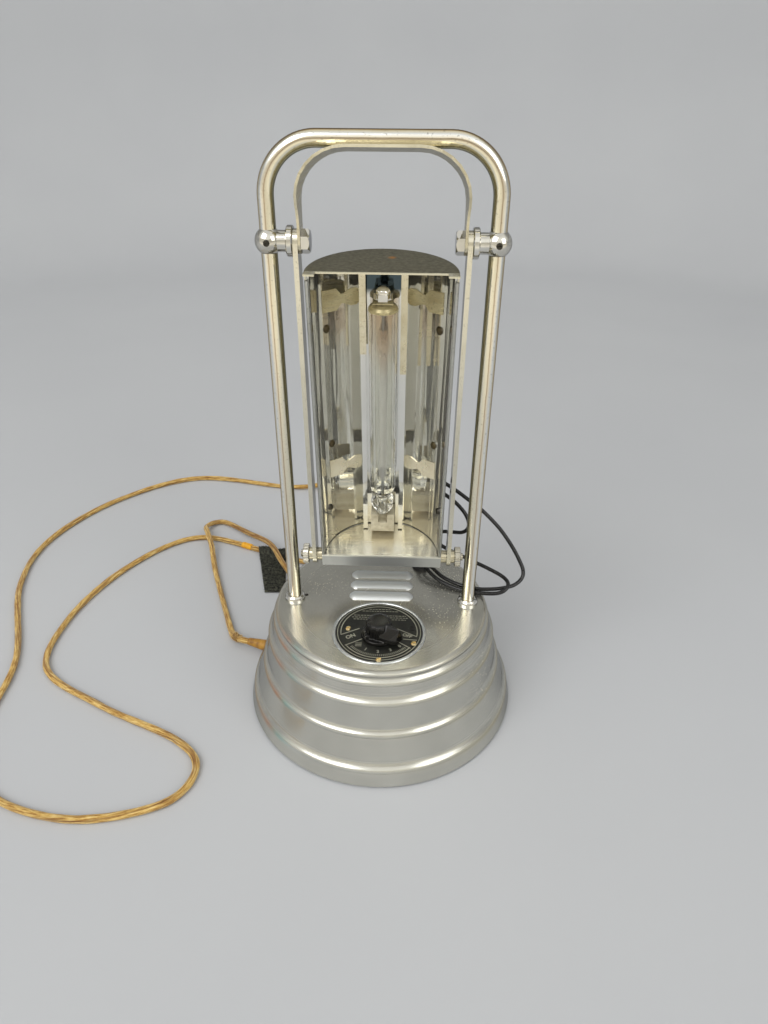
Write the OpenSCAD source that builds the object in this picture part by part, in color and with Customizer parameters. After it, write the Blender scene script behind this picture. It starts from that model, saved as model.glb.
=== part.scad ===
// Ultraviolet therapy lamp: a stepped base, a tall tube loop and a hanging reflector head.
// Millimetres, Z up, the origin on the floor at the centre of the base, the front towards -Y.

/* [Base] */
// Radius of the base at its foot
base_r = 114; // [112:1:118]
// Height of the deck above the floor
deck_z = 94; // [93:1:96]
// Thickness of the spun shell
shell_t = 1.6; // [1.2:0.1:2]

/* [Loop and clamps] */
// Distance between the two legs of the loop
leg_span = 144; // [144:1:146]
// Outer diameter of the loop tube
tube_d = 10.4; // [9.8:0.1:10.4]
// Height of the loop's crossbar centre above the floor
loop_z = 435; // [434:1:440]
// Height of the clamp pivots above the floor
clamp_z = 377.5; // [376:0.5:378]

/* [Yoke] */
// Distance between the upper and the lower pivot of an arm
arm_len = 246.2; // [245:0.2:247]
// Backward lean of the arms at rest, in degrees
arm_lean = 2.56; // [2:0.02:3]
// Width of an arm
arm_w = 15; // [13:1:16]

/* [Head] */
// Outer radius of the half-round head
head_r = 47.2; // [46.8:0.1:47.4]
// Height from the lower pivots to the top of the head
head_h = 234; // [230:1:236]
// Forward lean of the head at rest, in degrees
head_lean = 5.5; // [4:0.5:7]

/* [Dial] */
// Outer radius of the raised rim around the dial
dial_rim_r = 37; // [36.5:0.1:37.4]
// Direction in which the knob points, in degrees from the right
knob_angle = -36; // [-90:1:90]

/* [Cords] */
// Diameter of the mains cord
cord_d = 6; // [5.6:0.1:6.2]
// Diameter of the high-voltage leads
lead_d = 3.3; // [3:0.1:3.4]

/* [Hidden] */
$fn = 64;

// Places shared by several pieces
leg_x = leg_span / 2;
tube_r = tube_d / 2;
bend_r = 32;
low_y = arm_len * sin(arm_lean);
low_z = clamp_z - arm_len * cos(arm_lean);
face_y = -8;
dial_y = -41.2;
knob_y = -46;
plate_z = 4.2;
plate_t = 2;
plate_top = plate_z + plate_t;
fit = 0.05;
stud_r = 3;
bolt_r = 4;

// Stack of pieces along each pivot, as distances from the middle of the lamp
arm_in = 52.9;
arm_out = 56.1;
strap_in = 51;
strap_out = 52.8;
nut_in = 59.5;
nut_out = 64.3;
collar_in = 56.2;
collar_out = 60.3;

// Tiers of the base: radius inset from the foot and height as a share of the deck height
tier_k = deck_z / 94;
bead_r = 3.2;
tiers = [[2.5, 14.2], [12.6, 41.6], [18.7, 68.5], [24, 84.2]];
rim_inset = 26.5;
rim_round = 3;
rim_wide = 5;

// Holes in the deck
louvre_ys = [33.5, 18.8, 4];
louvre_r = 7.8;
louvre_len = 54;
bush_pos = [34, 48];
small_hole = [-62.9, 3.4];
core_screw_xs = [-43.6, 43.6];
dial_screw_pos = [[-24.4, -39.1], [27.2, -54.5], [0.9, -73.6]];
ring_pos = [25.8, -37];

// Cord gland on the foot of the base
gland_angle = 163.5;
gland_z = 9.5;
relief_len = 20;

function polar(r, a, z) = [r * cos(a), r * sin(a), z];
function unit(v) = v / norm(v);
function spline(p, i, t) =
  let (a = p[max(i - 1, 0)], b = p[i], c = p[i + 1], d = p[min(i + 2, len(p) - 1)])
  0.5 * (2 * b + (c - a) * t + (2 * a - 5 * b + 4 * c - d) * t * t
    + (3 * b - a - 3 * c + d) * t * t * t);
function smooth_path(p, steps) = concat(
  [for (i = [0 : len(p) - 2]) for (s = [0 : steps - 1]) spline(p, i, s / steps)],
  [p[len(p) - 1]]);
function tangent(p, i, first, last) =
  i == 0 ? unit(first) : i == len(p) - 1 ? unit(last) : unit(p[i + 1] - p[i - 1]);
// The sideways direction is level, so the rings never twist on a path that is nowhere vertical
function sideways(t, old) =
  let (flat = cross(t, [0, 0, 1])) norm(flat) > 0.2 ? unit(flat) : unit(old - (old * t) * t);
function carried(ts) = [for (i = 0, s = sideways(ts[0], [1, 0, 0]); i < len(ts);
  i = i + 1, s = i < len(ts) ? unit(s - (s * ts[i]) * ts[i]) : s) s];

// A tube swept along a path, its end rings square to the first and last directions
module swept_tube(path, r, sides, first, last) {
  ts = [for (i = [0 : len(path) - 1]) tangent(path, i, first, last)];
  us = carried(ts);
  points = [for (i = [0 : len(path) - 1]) for (k = [0 : sides - 1])
    path[i] + r * (cos(k * 360 / sides) * us[i] + sin(k * 360 / sides) * cross(ts[i], us[i]))];
  walls = [for (i = [0 : len(path) - 2]) for (k = [0 : sides - 1])
    let (a = i * sides + k, b = i * sides + (k + 1) % sides)
    each [[a, a + sides, b + sides], [a, b + sides, b]]];
  start = [for (k = [1 : sides - 2]) [0, k, k + 1]];
  top = (len(path) - 1) * sides;
  end = [for (k = [1 : sides - 2]) [top, top + k + 1, top + k]];
  polyhedron(points, concat(walls, start, end));
}

module in_yoke() {
  translate([0, 0, clamp_z]) rotate([arm_lean, 0, 0]) children();
}

// The head's own frame: its origin between the lower pivots, its height along the lamp tube
module in_head() {
  translate([0, low_y, low_z]) rotate([head_lean, 0, 0]) children();
}

module both_sides() {
  children();
  mirror([1, 0, 0]) children();
}

module along_x(x, r, l) {
  translate([x, 0, 0]) rotate([0, 90, 0]) cylinder(r = r, h = l);
}

// Base
// Each tier is a wall, a rounded bead and a hollow that leads into the wall above it
function arc_points(c, rx, ry, a0, a1, n) =
  [for (i = [0 : n]) let (a = a0 + (a1 - a0) * i / n) c + [rx * cos(a), ry * sin(a)]];
function hollow(s, a, e, d, n) =
  let (t = [-sin(a), cos(a)], k = ((e[0] - s[0]) * d[1] - (e[1] - s[1]) * d[0])
    / (t[0] * d[1] - t[1] * d[0]), c = s + k * t)
  [for (i = [1 : n]) let (u = i / n) (1 - u) * (1 - u) * s + 2 * u * (1 - u) * c + u * u * e];
function tier_points(i) =
  let (r = base_r - tiers[i][0], z = tiers[i][1] * tier_k, c = [r - bead_r, z],
    last = i == len(tiers) - 1, low = c + bead_r * [0, 1],
    next = last ? [base_r - rim_inset, deck_z - rim_round]
      : [base_r - tiers[i + 1][0] - 0.3, tiers[i + 1][1] * tier_k - 1.3],
    d = unit(next - low), end = last ? (low + next) / 2 : low + 4 * d)
  concat(arc_points(c, bead_r, bead_r, -24, 50, 9),
    hollow(c + bead_r * [cos(50), sin(50)], 50, end, d, 6));

module tier_outline() {
  rim = [base_r - rim_inset - rim_wide, deck_z - rim_round];
  polygon(concat([[0, 2], [base_r, 2]], [for (i = [0 : len(tiers) - 1]) each tier_points(i)],
    arc_points(rim, rim_wide, rim_round, 0, 90, 8), [[0, deck_z]]));
}

module tier_hollow() {
  rim_r = base_r - rim_inset - shell_t;
  walls = [for (t = tiers) let (r = base_r - t[0] - shell_t, z = t[1] * tier_k)
    each [[r - 0.3, z - 1.3], [r - bead_r, z + bead_r]]];
  polygon(concat([[0, -1], [base_r - shell_t, -1], [base_r - shell_t, 2]], walls,
    [[rim_r, deck_z - rim_round - 0.7], [rim_r - 3.4, deck_z - shell_t], [0, deck_z - shell_t]]));
}

module louvre_skin(r) {
  half = louvre_len / 2 - 6.15;
  for (y = louvre_ys) translate([0, y, deck_z - 4.8]) {
    along_x(-half, r, 2 * half);
    for (x = [-half, half]) translate([x, 0, 0]) sphere(r);
  }
}

module louvre_hoods() {
  difference() {
    intersection() {
      louvre_skin(louvre_r);
      translate([-40, -20, deck_z - 1]) cube([80, 80, 6]);
    }
    for (y = louvre_ys) translate([-20.8, y + 3.6, deck_z]) cube([41.6, 6, 4]);
  }
}

module at_gland() {
  rotate([0, 0, gland_angle]) translate([0, 0, gland_z]) children();
}

module base_shell() {
  color("#a9aaa6")
  difference() {
    union() {
      difference() {
        rotate_extrude($fn = 180) tier_outline();
        rotate_extrude($fn = 180) tier_hollow();
      }
      translate([0, 0, plate_top + 0.1]) difference() {
        cylinder(r = base_r - 2.2, h = 1.6);
        translate([0, 0, -1]) cylinder(r = base_r - 14, h = 4);
      }
      louvre_hoods();
      translate([0, dial_y, deck_z - 0.2]) rotate_extrude() translate([dial_rim_r - 1.5, 0])
        circle(1.5);
    }
    louvre_skin(louvre_r - 1);
    translate([0, knob_y, deck_z - 5]) cylinder(r = 5.2, h = 10);
    for (x = [-leg_x, leg_x]) translate([x, 0, deck_z - 5]) cylinder(r = tube_r + fit, h = 10);
    translate([bush_pos[0], bush_pos[1], deck_z - 5]) cylinder(r = 6, h = 10);
    translate([small_hole[0], small_hole[1], deck_z - 5]) cylinder(r = 1.6, h = 10);
    for (p = dial_screw_pos) translate([p[0], p[1], deck_z - 5]) cylinder(r = 1.5, h = 10);
    at_gland() {
      along_x(base_r - 20, 5, 30);
      translate([base_r - 16, -8, -5]) cube([9.4, 16, 4.5]);
    }
    for (a = [45 : 90 : 315]) rotate(a) translate([base_r - 9.5, 0, 0]) cylinder(r = 1.7, h = 12);
  }
}

module base_plate() {
  color("#8f9091")
  difference() {
    translate([0, 0, plate_z]) cylinder(r = base_r - 3.8, h = plate_t);
    for (a = [45 : 90 : 315]) rotate(a) {
      translate([base_r - 9.5, 0, 0]) cylinder(r = 2, h = 12);
      translate([88, 0, 0]) cylinder(r = 3, h = 12);
    }
    for (a = [0 : 30 : 330]) rotate(a + 15) translate([64, -2.5, 0]) cube([14, 5, 12]);
    for (x = core_screw_xs) for (y = [11, 39]) translate([x, y, 0]) cylinder(r = 2, h = 12);
    rotate(gland_angle) translate([92, -8.5, 0]) cube([30, 17, 12]);
  }
}

module rubber_feet() {
  color("#26282b")
  for (a = [45 : 90 : 315]) rotate(a) translate([88, 0, 0]) {
    cylinder(r1 = 8, r2 = 9, h = plate_z);
    translate([0, 0, plate_z]) cylinder(r = 2.95, h = plate_t);
    translate([0, 0, plate_top]) cylinder(r1 = 4.2, r2 = 2.4, h = 4);
  }
}

module pan_screw(head_r, head_t, r, l) {
  difference() {
    translate([0, 0, -head_t]) cylinder(r1 = head_r * 0.75, r2 = head_r, h = head_t);
    translate([-head_r, -0.4, -head_t - 1]) cube([2 * head_r, 0.8, 1.7]);
  }
  cylinder(r = r, h = l);
}

module base_plate_screws() {
  color("#b9b8b0")
  for (a = [45 : 90 : 315]) rotate(a) translate([base_r - 9.5, 0, plate_z])
    pan_screw(3.5, 2, 1.65, 7);
}

// Transformer, laid across the base behind the switch
core_w = 76;
core_d = 36;
core_h = 62;
core_pos = [0, 25, plate_top + 2];

module transformer_core() {
  color("#4d4a47")
  translate(core_pos) difference() {
    translate([-core_w / 2, -core_d / 2, 0]) cube([core_w, core_d, core_h]);
    for (x = [-26, 13]) translate([x, -core_d / 2 - 1, 12]) cube([13, core_d + 2, core_h - 24]);
  }
}

module transformer_winding() {
  color("#7c4b23")
  translate(core_pos + [0, 0, 12.5]) difference() {
    linear_extrude(core_h - 25) {
      translate([-25, -core_d / 2 - 9]) square([50, core_d + 18]);
      translate([-19, -core_d / 2 - 12]) square([38, core_d + 24]);
    }
    translate([-13.2, -core_d / 2 - 0.2, -1]) cube([26.4, core_d + 0.4, core_h]);
  }
}

module transformer_bracket() {
  color("#6f7173")
  difference() {
    translate(core_pos - [0, 0, 2]) {
      for (x = [-47, 38]) translate([x, -core_d / 2, 0]) cube([9, core_d, 2]);
      for (x = [-40, 38]) translate([x, -core_d / 2, 0]) cube([2, core_d, core_h + 4]);
      translate([-40, -core_d / 2, core_h + 2]) cube([80, core_d, 2]);
      translate([-40, -core_d / 2, 0]) cube([80, core_d, 2]);
    }
    for (x = core_screw_xs) for (y = [11, 39]) translate([x, y, 0]) cylinder(r = 2, h = 12);
  }
}

module transformer_screws() {
  color("#b9b8b0")
  for (x = core_screw_xs) for (y = [11, 39]) translate([x, y, plate_z]) {
    pan_screw(3.5, 2, 1.95, 6.5);
    translate([0, 0, 4]) cylinder(r = 3.3, h = 2.4, $fn = 6);
  }
}

module terminal_strip() {
  color("#3a2c22")
  difference() {
    translate([-78, -26, plate_top]) cube([14, 44, 10]);
    for (y = [-20 : 8 : 12]) translate([-71, y, plate_top + 4]) cylinder(r = 2.2, h = 8);
  }
}

// Rotary switch, its dial and its knob
module at_knob() {
  translate([0, knob_y, 0]) children();
}

module switch_body() {
  color("#2c2622")
  at_knob() difference() {
    union() {
      translate([0, 0, deck_z - 26]) cylinder(r = 17, h = 20);
      translate([0, 0, deck_z - 6]) cylinder(r = 9, h = 6 - shell_t);
      translate([0, 0, deck_z - 6]) cylinder(r = 4.8, h = 8.9);
      for (a = [0 : 72 : 288]) rotate(a) translate([9, -2, deck_z - 32]) cube([1, 4, 7]);
    }
    translate([0, 0, deck_z - 22]) cylinder(r = stud_r + fit, h = 30);
  }
}

module switch_nut() {
  color("#c9b37a")
  at_knob() translate([0, 0, deck_z + 0.8]) difference() {
    cylinder(r = 7, h = 2, $fn = 6);
    translate([0, 0, -1]) cylinder(r = 4.82, h = 4);
  }
}

module switch_spindle() {
  color("#c9b37a")
  at_knob() translate([0, 0, deck_z - 20]) cylinder(r = stud_r, h = 34);
}

module switch_knob() {
  color("#141414")
  at_knob() difference() {
    union() {
      translate([0, 0, deck_z + 1.2]) cylinder(r1 = 14, r2 = 13.4, h = 3);
      translate([0, 0, deck_z + 4]) cylinder(r1 = 11, r2 = 9, h = 12.8);
      rotate(knob_angle) translate([0, 5, deck_z + 3.9]) rotate([90, 0, 0])
        linear_extrude(10) polygon([[-6, 0], [18.4, 0], [20.4, 13.1], [-6, 13.1]]);
    }
    translate([0, 0, deck_z + 1]) cylinder(r = 9, h = 2.6);
    translate([0, 0, deck_z]) cylinder(r = stud_r + 0.01, h = 14.2);
  }
}

module dial_plate() {
  color("#1c1d1c")
  difference() {
    translate([0, dial_y, deck_z]) cylinder(r = dial_rim_r - 3.1, h = 0.8);
    translate([0, knob_y, deck_z - 1]) cylinder(r = 5.2, h = 4);
    for (p = dial_screw_pos) translate([p[0], p[1], deck_z - 1]) cylinder(r = 1.5, h = 4);
  }
  translate([ring_pos[0], ring_pos[1], deck_z + 0.6]) difference() {
    cylinder(r = 2.8, h = 0.6);
    translate([0, 0, -1]) cylinder(r = 2, h = 4);
  }
}

module dial_screws() {
  color("#c79a62")
  for (p = dial_screw_pos) translate([p[0], p[1], deck_z + 0.8]) rotate([180, 0, 30])
    pan_screw(2.3, 1.1, 1.45, 6);
}

module lead_bush() {
  color("#1b1b1b")
  translate([bush_pos[0], bush_pos[1], 0]) {
    translate([0, 0, deck_z]) cylinder(r1 = 8, r2 = 7.2, h = 2.6);
    translate([0, 0, deck_z - shell_t]) cylinder(r = 5.95, h = shell_t);
    translate([0, 0, deck_z - shell_t - 2.4]) cylinder(r = 7.6, h = 2.4);
  }
}

// The gland is a flanged bush in the foot of the shell, with the tapered relief outside it
module cord_gland() {
  color("#2a2623")
  at_gland() {
    along_x(base_r - 20, 4.95, 18.2);
    along_x(base_r - 13, 7, 4);
  }
}

module strain_relief() {
  color("#8a5a25")
  at_gland() translate([base_r - 1.8, 0, 0]) rotate([0, 90, 0]) {
    cylinder(r = 4.9, h = 1.5);
    translate([0, 0, 1.4]) cylinder(r1 = 5.4, r2 = 3.4, h = relief_len - 1.4);
  }
}

// Loop
module loop_tube() {
  color("#c9c7bd")
  difference() {
    loop_solid(tube_r, 0);
    loop_solid(tube_r - 1.2, 1);
  }
}

module loop_solid(r, over) {
  leg_top = loop_z - bend_r;
  for (x = [-leg_x, leg_x]) translate([x, 0, deck_z - 9 - over])
    cylinder(r = r, h = leg_top - deck_z + 9 + over);
  both_sides() translate([leg_x - bend_r, 0, leg_top]) rotate([90, 0, 0])
    rotate_extrude(angle = 90) translate([bend_r, 0]) circle(r);
  along_x_at(loop_z, bend_r - leg_x, r, leg_span - 2 * bend_r);
}

module along_x_at(z, x, r, l) {
  translate([0, 0, z]) along_x(x, r, l);
}

module foot_collars() {
  color("#d6d3c8")
  for (x = [-leg_x, leg_x]) translate([x, 0, deck_z]) rotate_extrude()
    polygon([[tube_r + 0.01, 0], [8.3, 0], [8.3, 1.6], [7.6, 3], [6.5, 4], [tube_r + 0.01, 4.2]]);
}

module tube_lock_nuts() {
  color("#b9b8b0")
  for (x = [-leg_x, leg_x]) translate([x, 0, deck_z - shell_t - 5]) difference() {
    cylinder(r = 9.2, h = 5, $fn = 6);
    translate([0, 0, -1]) cylinder(r = tube_r + 0.01, h = 8);
  }
}

module ball_clamp() {
  translate([0, 0, clamp_z]) difference() {
    union() {
      translate([leg_x, 0, 0]) sphere(8.8);
      along_x(collar_out - 1, 6.5, leg_x - collar_out + 1);
      along_x(collar_in + 0.6, 9.5, collar_out - collar_in - 1.2);
      translate([collar_in, 0, 0]) rotate([0, 90, 0]) cylinder(r1 = 8.9, r2 = 9.5, h = 0.6);
      translate([collar_out - 0.6, 0, 0]) rotate([0, 90, 0])
        cylinder(r1 = 9.5, r2 = 8.9, h = 0.6);
    }
    translate([leg_x, 0, -20]) cylinder(r = tube_r + 0.01, h = 40);
    along_x(collar_in - 1, bolt_r + 0.01, 11.2);
    translate([leg_x, -4, 0]) rotate([90, 0, 0]) cylinder(r = 2.01, h = 8);
  }
}

module ball_clamp_left() {
  color("#d3d1c6") mirror([1, 0, 0]) ball_clamp();
}

module ball_clamp_right() {
  color("#d3d1c6") ball_clamp();
}

module clamp_set_screws() {
  color("#8f8c80")
  for (x = [-leg_x, leg_x]) translate([x, -tube_r, clamp_z]) rotate([90, 0, 0]) difference() {
    cylinder(r = 2, h = 4.2);
    translate([-3, -0.35, 3.2]) cube([6, 0.7, 2]);
  }
}

// A hexagon head whose outer corners are turned off
module hex_head(r, h) {
  intersection() {
    cylinder(r = r, h = h, $fn = 6);
    union() {
      cylinder(r1 = r * 0.86, r2 = r + 1, h = 2.4);
      translate([0, 0, 2.4]) cylinder(r = r + 1, h = h - 2.4);
    }
  }
}

module pivot_bolts() {
  color("#c4c0b2")
  both_sides() translate([0, 0, clamp_z]) {
    translate([45.6, 0, 0]) rotate([0, 90, 0]) hex_head(7.5, 5.3);
    along_x(50.9, bolt_r, 15.4);
  }
}

// Strap that arches from bolt to bolt just under the crossbar. Its legs are straight, its
// crown leans forwards and is twisted so that its top lies flat against the crossbar's front.
strap_w = 15;
strap_t = strap_out - strap_in;
strap_mid = (strap_in + strap_out) / 2;
crown_h = 53.1;
crown_x = 22;
arc_h = 23.5;
crown_y = -8.5;
crown_twist = 12.6;
leg_start = 9;

function ease(t) = t * t * (3 - 2 * t);
function strap_y(h) = crown_y * ease(h / (crown_h - leg_start));
function strap_leg(h) = [strap_mid, strap_y(max(h - leg_start, 0)), h];
function strap_corner(a) =
  let (x = crown_x + (strap_mid - crown_x) * cos(a), h = arc_h + (crown_h - arc_h) * sin(a))
  [x, strap_y(h - leg_start), h];
function strap_half() = concat(
  [for (h = [leg_start - 1 : 1 : leg_start]) strap_leg(h)],
  [for (h = [leg_start + 3 : 3 : 21]) strap_leg(h)],
  [for (a = [0 : 11.25 : 78.75]) strap_corner(a)],
  [for (x = [crown_x : -9 : 9]) [x, crown_y, crown_h]]);

module strap_ribbon() {
  half = strap_half();
  n = len(half);
  path = concat(half, [[0, crown_y, crown_h]], [for (i = [n - 1 : -1 : 0])
    [-half[i][0], half[i][1], half[i][2]]]);
  last = len(path) - 1;
  corners = [for (i = [0 : last])
    let (t = i == 0 ? [0, 0, 1] : i == last ? [0, 0, -1] : unit(path[i + 1] - path[i - 1]),
      flat = unit([0, 1, 0] - t[1] * t),
      turn = crown_twist * ease(max(path[i][2] - leg_start, 0) / (crown_h - leg_start)),
      wide = cos(turn) * flat - sin(turn) * cross(flat, t),
      out = cross(wide, t))
    each [for (s = [[1, 1], [1, -1], [-1, -1], [-1, 1]])
      path[i] + s[0] * (strap_w / 2 - 0.05) * wide + s[1] * (strap_t / 2 - 0.05) * out]];
  walls = [for (i = [0 : last - 1]) for (k = [0 : 3])
    let (a = 4 * i + k, b = 4 * i + (k + 1) % 4)
    each [[a, a + 4, b + 4], [a, b + 4, b]]];
  translate([0, 0, clamp_z])
    polyhedron(corners, concat(walls, [[0, 1, 2], [0, 2, 3]],
      [[4 * last, 4 * last + 2, 4 * last + 1], [4 * last, 4 * last + 3, 4 * last + 2]]));
}

module top_strap() {
  color("#b7ad98") {
    strap_ribbon();
    both_sides() translate([0, 0, clamp_z]) difference() {
      union() {
        along_x(strap_in, strap_w / 2, strap_t);
        translate([strap_in, -strap_w / 2, 0]) cube([strap_t, strap_w, leg_start - 0.1]);
      }
      along_x(strap_in - 1, bolt_r + fit, 4);
    }
  }
}

// Yoke
module arm() {
  in_yoke() difference() {
    union() {
      along_x(arm_in, arm_w / 2, arm_out - arm_in);
      translate([arm_in, -arm_w / 2, -arm_len]) cube([arm_out - arm_in, arm_w, arm_len]);
      translate([0, 0, -arm_len]) along_x(arm_in, arm_w / 2, arm_out - arm_in);
    }
    along_x(arm_in - 1, bolt_r + fit, 6);
    translate([0, 0, -arm_len]) along_x(arm_in - 1, stud_r + fit, 6);
  }
}

module arm_left() {
  color("#c6bda6") mirror([1, 0, 0]) arm();
}

module arm_right() {
  color("#c6bda6") arm();
}

module at_low_pivots() {
  both_sides() translate([0, low_y, low_z]) children();
}

module arm_washers() {
  color("#b5b09f")
  at_low_pivots() difference() {
    along_x(arm_out, 5.3, nut_in - arm_out - 0.1);
    along_x(arm_out - 1, stud_r + fit, 6);
  }
}

module thumb_nut() {
  grips = 28;
  translate([0, low_y, low_z]) difference() {
    union() {
      along_x(nut_in + 0.5, 8.2, nut_out - nut_in - 1);
      translate([nut_in, 0, 0]) rotate([0, 90, 0]) cylinder(r1 = 7.7, r2 = 8.2, h = 0.5);
      translate([nut_out - 0.5, 0, 0]) rotate([0, 90, 0]) cylinder(r1 = 8.2, r2 = 7.7, h = 0.5);
    }
    along_x(nut_in - 1, stud_r + fit, 8);
    for (i = [0 : grips - 1]) rotate([i * 360 / grips, 0, 0]) translate([0, 0, 8.5])
      along_x(nut_in - 1, 0.6, 8, $fn = 16);
  }
}

module thumb_nut_left() {
  color("#b9b3a0") mirror([1, 0, 0]) thumb_nut();
}

module thumb_nut_right() {
  color("#b9b3a0") thumb_nut();
}

module pivot_studs() {
  color("#b9b3a0")
  at_low_pivots() {
    along_x(42.9, 4.6, 1.6);
    along_x(44.5, stud_r, 21.8);
  }
}

module inner_bushes() {
  color("#b5b09f")
  at_low_pivots() difference() {
    along_x(47.25, 5.2, arm_in - 47.35);
    along_x(46, stud_r + 0.01, 8);
  }
}

// Head: everything below is drawn upright in the head's own frame
module half_round(r, z0, z1) {
  intersection() {
    translate([0, face_y, z0]) cylinder(r = r, h = z1 - z0, $fn = 128);
    translate([-60, face_y, z0 - 1]) cube([120, 70, z1 - z0 + 2]);
  }
}

module half_wall(r_out, r_in, z0, z1) {
  difference() {
    half_round(r_out, z0, z1);
    translate([0, face_y, z0 - 1]) cylinder(r = r_in, h = z1 - z0 + 2, $fn = 128);
  }
}

cap_t = 1.2;
cap_r = head_r + 0.8;
wall_top = head_h - cap_t;
floor_top = 6.2;
lip_low = -4.2;
liner_r = head_r - 1;
liner_in = liner_r - 0.7;
channel_w = 27;
channel_back = 35.3;
channel_front = 26;

module head_shell() {
  color("#9c9a90")
  in_head() {
    difference() {
      half_wall(head_r, head_r - 0.9, -5.5, wall_top);
      both_sides() along_x(40, stud_r + 0.02, 12);
      for (x = [-12, 12]) translate([x, 30, 46]) rotate([-90, 0, 0]) cylinder(r = 3.5, h = 20);
    }
    both_sides() translate([head_r - 0.3, face_y - 0.3, floor_top + 0.2])
      cylinder(r = 1.25, h = wall_top - floor_top - 5);
  }
}

module head_cap() {
  color("#77735f")
  in_head() {
    half_round(cap_r, wall_top, head_h);
    half_wall(cap_r, head_r + 0.1, wall_top - 4.5, wall_top + 0.1);
    translate([-cap_r, face_y - 1.5, wall_top]) cube([2 * cap_r, 1.7, cap_t]);
    both_sides() translate([cap_r - 7, face_y - 7, wall_top]) difference() {
      cube([7, 7.5, cap_t]);
      translate([0, 0, -1]) rotate(-45) translate([-6, -6, 0]) cube([6, 6, 4]);
    }
  }
}

module bottom_plate() {
  color("#b3a988")
  in_head() {
    half_round(head_r - 2, floor_top - 1, floor_top);
    translate([-cap_r, face_y - 1.2, lip_low]) cube([2 * cap_r, 1.2, floor_top - lip_low]);
    translate([2 - head_r, face_y - 0.1, floor_top - 1]) cube([2 * head_r - 4, 0.2, 1]);
  }
}

module reflector(side) {
  in_head() intersection() {
    half_wall(liner_r, liner_in, floor_top + 0.1, wall_top - 0.1);
    translate([side > 0 ? channel_w / 2 + 0.1 : -60, face_y + 1.2, 0])
      cube([60 - channel_w / 2 - 0.1, 80, head_h]);
  }
}

module reflector_left() {
  color("#d8d4c2") reflector(-1);
}

module reflector_right() {
  color("#d8d4c2") reflector(1);
}

module rear_channel() {
  color("#cfccbc")
  in_head() translate([0, 0, floor_top + 0.2]) linear_extrude(wall_top - floor_top - 0.5) {
    translate([-channel_w / 2, channel_back - 0.8]) square([channel_w, 0.8]);
    both_sides() {
      translate([channel_w / 2 - 0.8, channel_front])
        square([0.8, channel_back - channel_front]);
      translate([channel_w / 2 - 0.8, channel_front]) square([3.6, 0.8]);
    }
  }
}

module hanger_strips() {
  color("#e3d6b4")
  in_head() {
    translate([-16.6, channel_front - 1.6, 165]) cube([4.6, 1.5, wall_top - 165.1]);
    translate([12, channel_front - 1.6, 150]) cube([4.6, 1.5, wall_top - 150.1]);
  }
}

// A bracket from the channel's flange to the wall, waisted like one half of a bow tie
module bracket(mid_z) {
  lobe = 5.8;
  waist = 3.3;
  wing = 7.4;
  outline = [[0, -lobe * 0.8], [2, -lobe], [6, -lobe], [11.5, -waist], [13.5, -waist],
    [17, -wing], [27.6, -wing], [27.6, wing], [17, wing], [13.5, waist], [11.5, waist],
    [6, lobe], [2, lobe], [0, lobe * 0.8]];
  in_head() translate([17, channel_front - 1.7, mid_z]) rotate([0, 0, -32.5]) rotate([90, 0, 0])
    linear_extrude(0.8) polygon(outline);
}

module upper_brackets() {
  color("#b9b089") both_sides() bracket(208);
}

module lower_brackets() {
  color("#d9cfa8") both_sides() bracket(77);
}

module on_wall(angle, z) {
  translate([0, face_y, z]) rotate([0, 0, angle]) translate([liner_in - 0.13, 0, 0])
    rotate([0, -90, 0]) children();
}

module reflector_rivets() {
  color("#6d4f2c")
  in_head() for (a = [32, 148]) for (z = [96, 187]) on_wall(a, z)
    rotate_extrude() polygon([[0, 0], [3.1, 0], [2.6, 1], [1.4, 1.6], [0, 1.7]]);
}

module liner_screws() {
  color("#3b3a36")
  in_head() for (p = [[156, 40], [14, 44]]) on_wall(p[0], p[1]) difference() {
    rotate_extrude() polygon([[0, 0], [2.6, 0], [2.3, 1.2], [0, 1.6]]);
    translate([-3, -0.35, 0.9]) cube([6, 0.7, 2]);
  }
}

// Burner
lamp_y = 20;
envelope_r = 10;

module at_lamp(z) {
  in_head() translate([0, lamp_y, z]) children();
}

module burner_block() {
  color("#b5ad95")
  at_lamp(floor_top + 4.6) difference() {
    translate([-9.5, -2, 0]) cube([19, 15, 17]);
    translate([0, 0, 9]) cylinder(r = 4.2, h = 12);
  }
}

module burner_hanger() {
  color("#8f8a78")
  in_head() difference() {
    union() {
      translate([-7, lamp_y - 7, 205.2]) cube([14, channel_back - 0.9 - lamp_y + 7, 1]);
      translate([-7, channel_back - 1.9, 194]) cube([14, 1, 12.2]);
    }
    translate([0, lamp_y, 200]) cylinder(r = 2.6, h = 10);
  }
}

module acorn_nut() {
  color("#c8c6ba")
  at_lamp(206.3) difference() {
    union() {
      cylinder(r = 6.4, h = 5, $fn = 6);
      translate([0, 0, 5]) intersection() {
        sphere(5.4);
        cylinder(r = 6, h = 6);
      }
    }
    translate([0, 0, -1]) cylinder(r = 2.52, h = 6);
  }
}

module burner_collar() {
  color("#b8ab83")
  at_lamp(199.4) {
    rotate_extrude() polygon([[0, 0], [10.4, 0], [10.2, 1.6], [9, 3.4], [6.8, 4.9], [4, 5.6],
      [0, 5.6]]);
    translate([0, 0, 5.6]) cylinder(r = 2.5, h = 6);
  }
}

module quartz_envelope() {
  color("#dcd6c4", 0.4)
  at_lamp(0) rotate_extrude() polygon([[0, 31], [4, 31], [4, 44], [6, 48], [9, 52],
    [envelope_r, 57], [envelope_r, 199.3], [8.8, 199.3], [8.8, 57.4], [8, 53.2], [5, 49.4],
    [2.6, 46.5], [0, 46.5]]);
}

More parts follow.
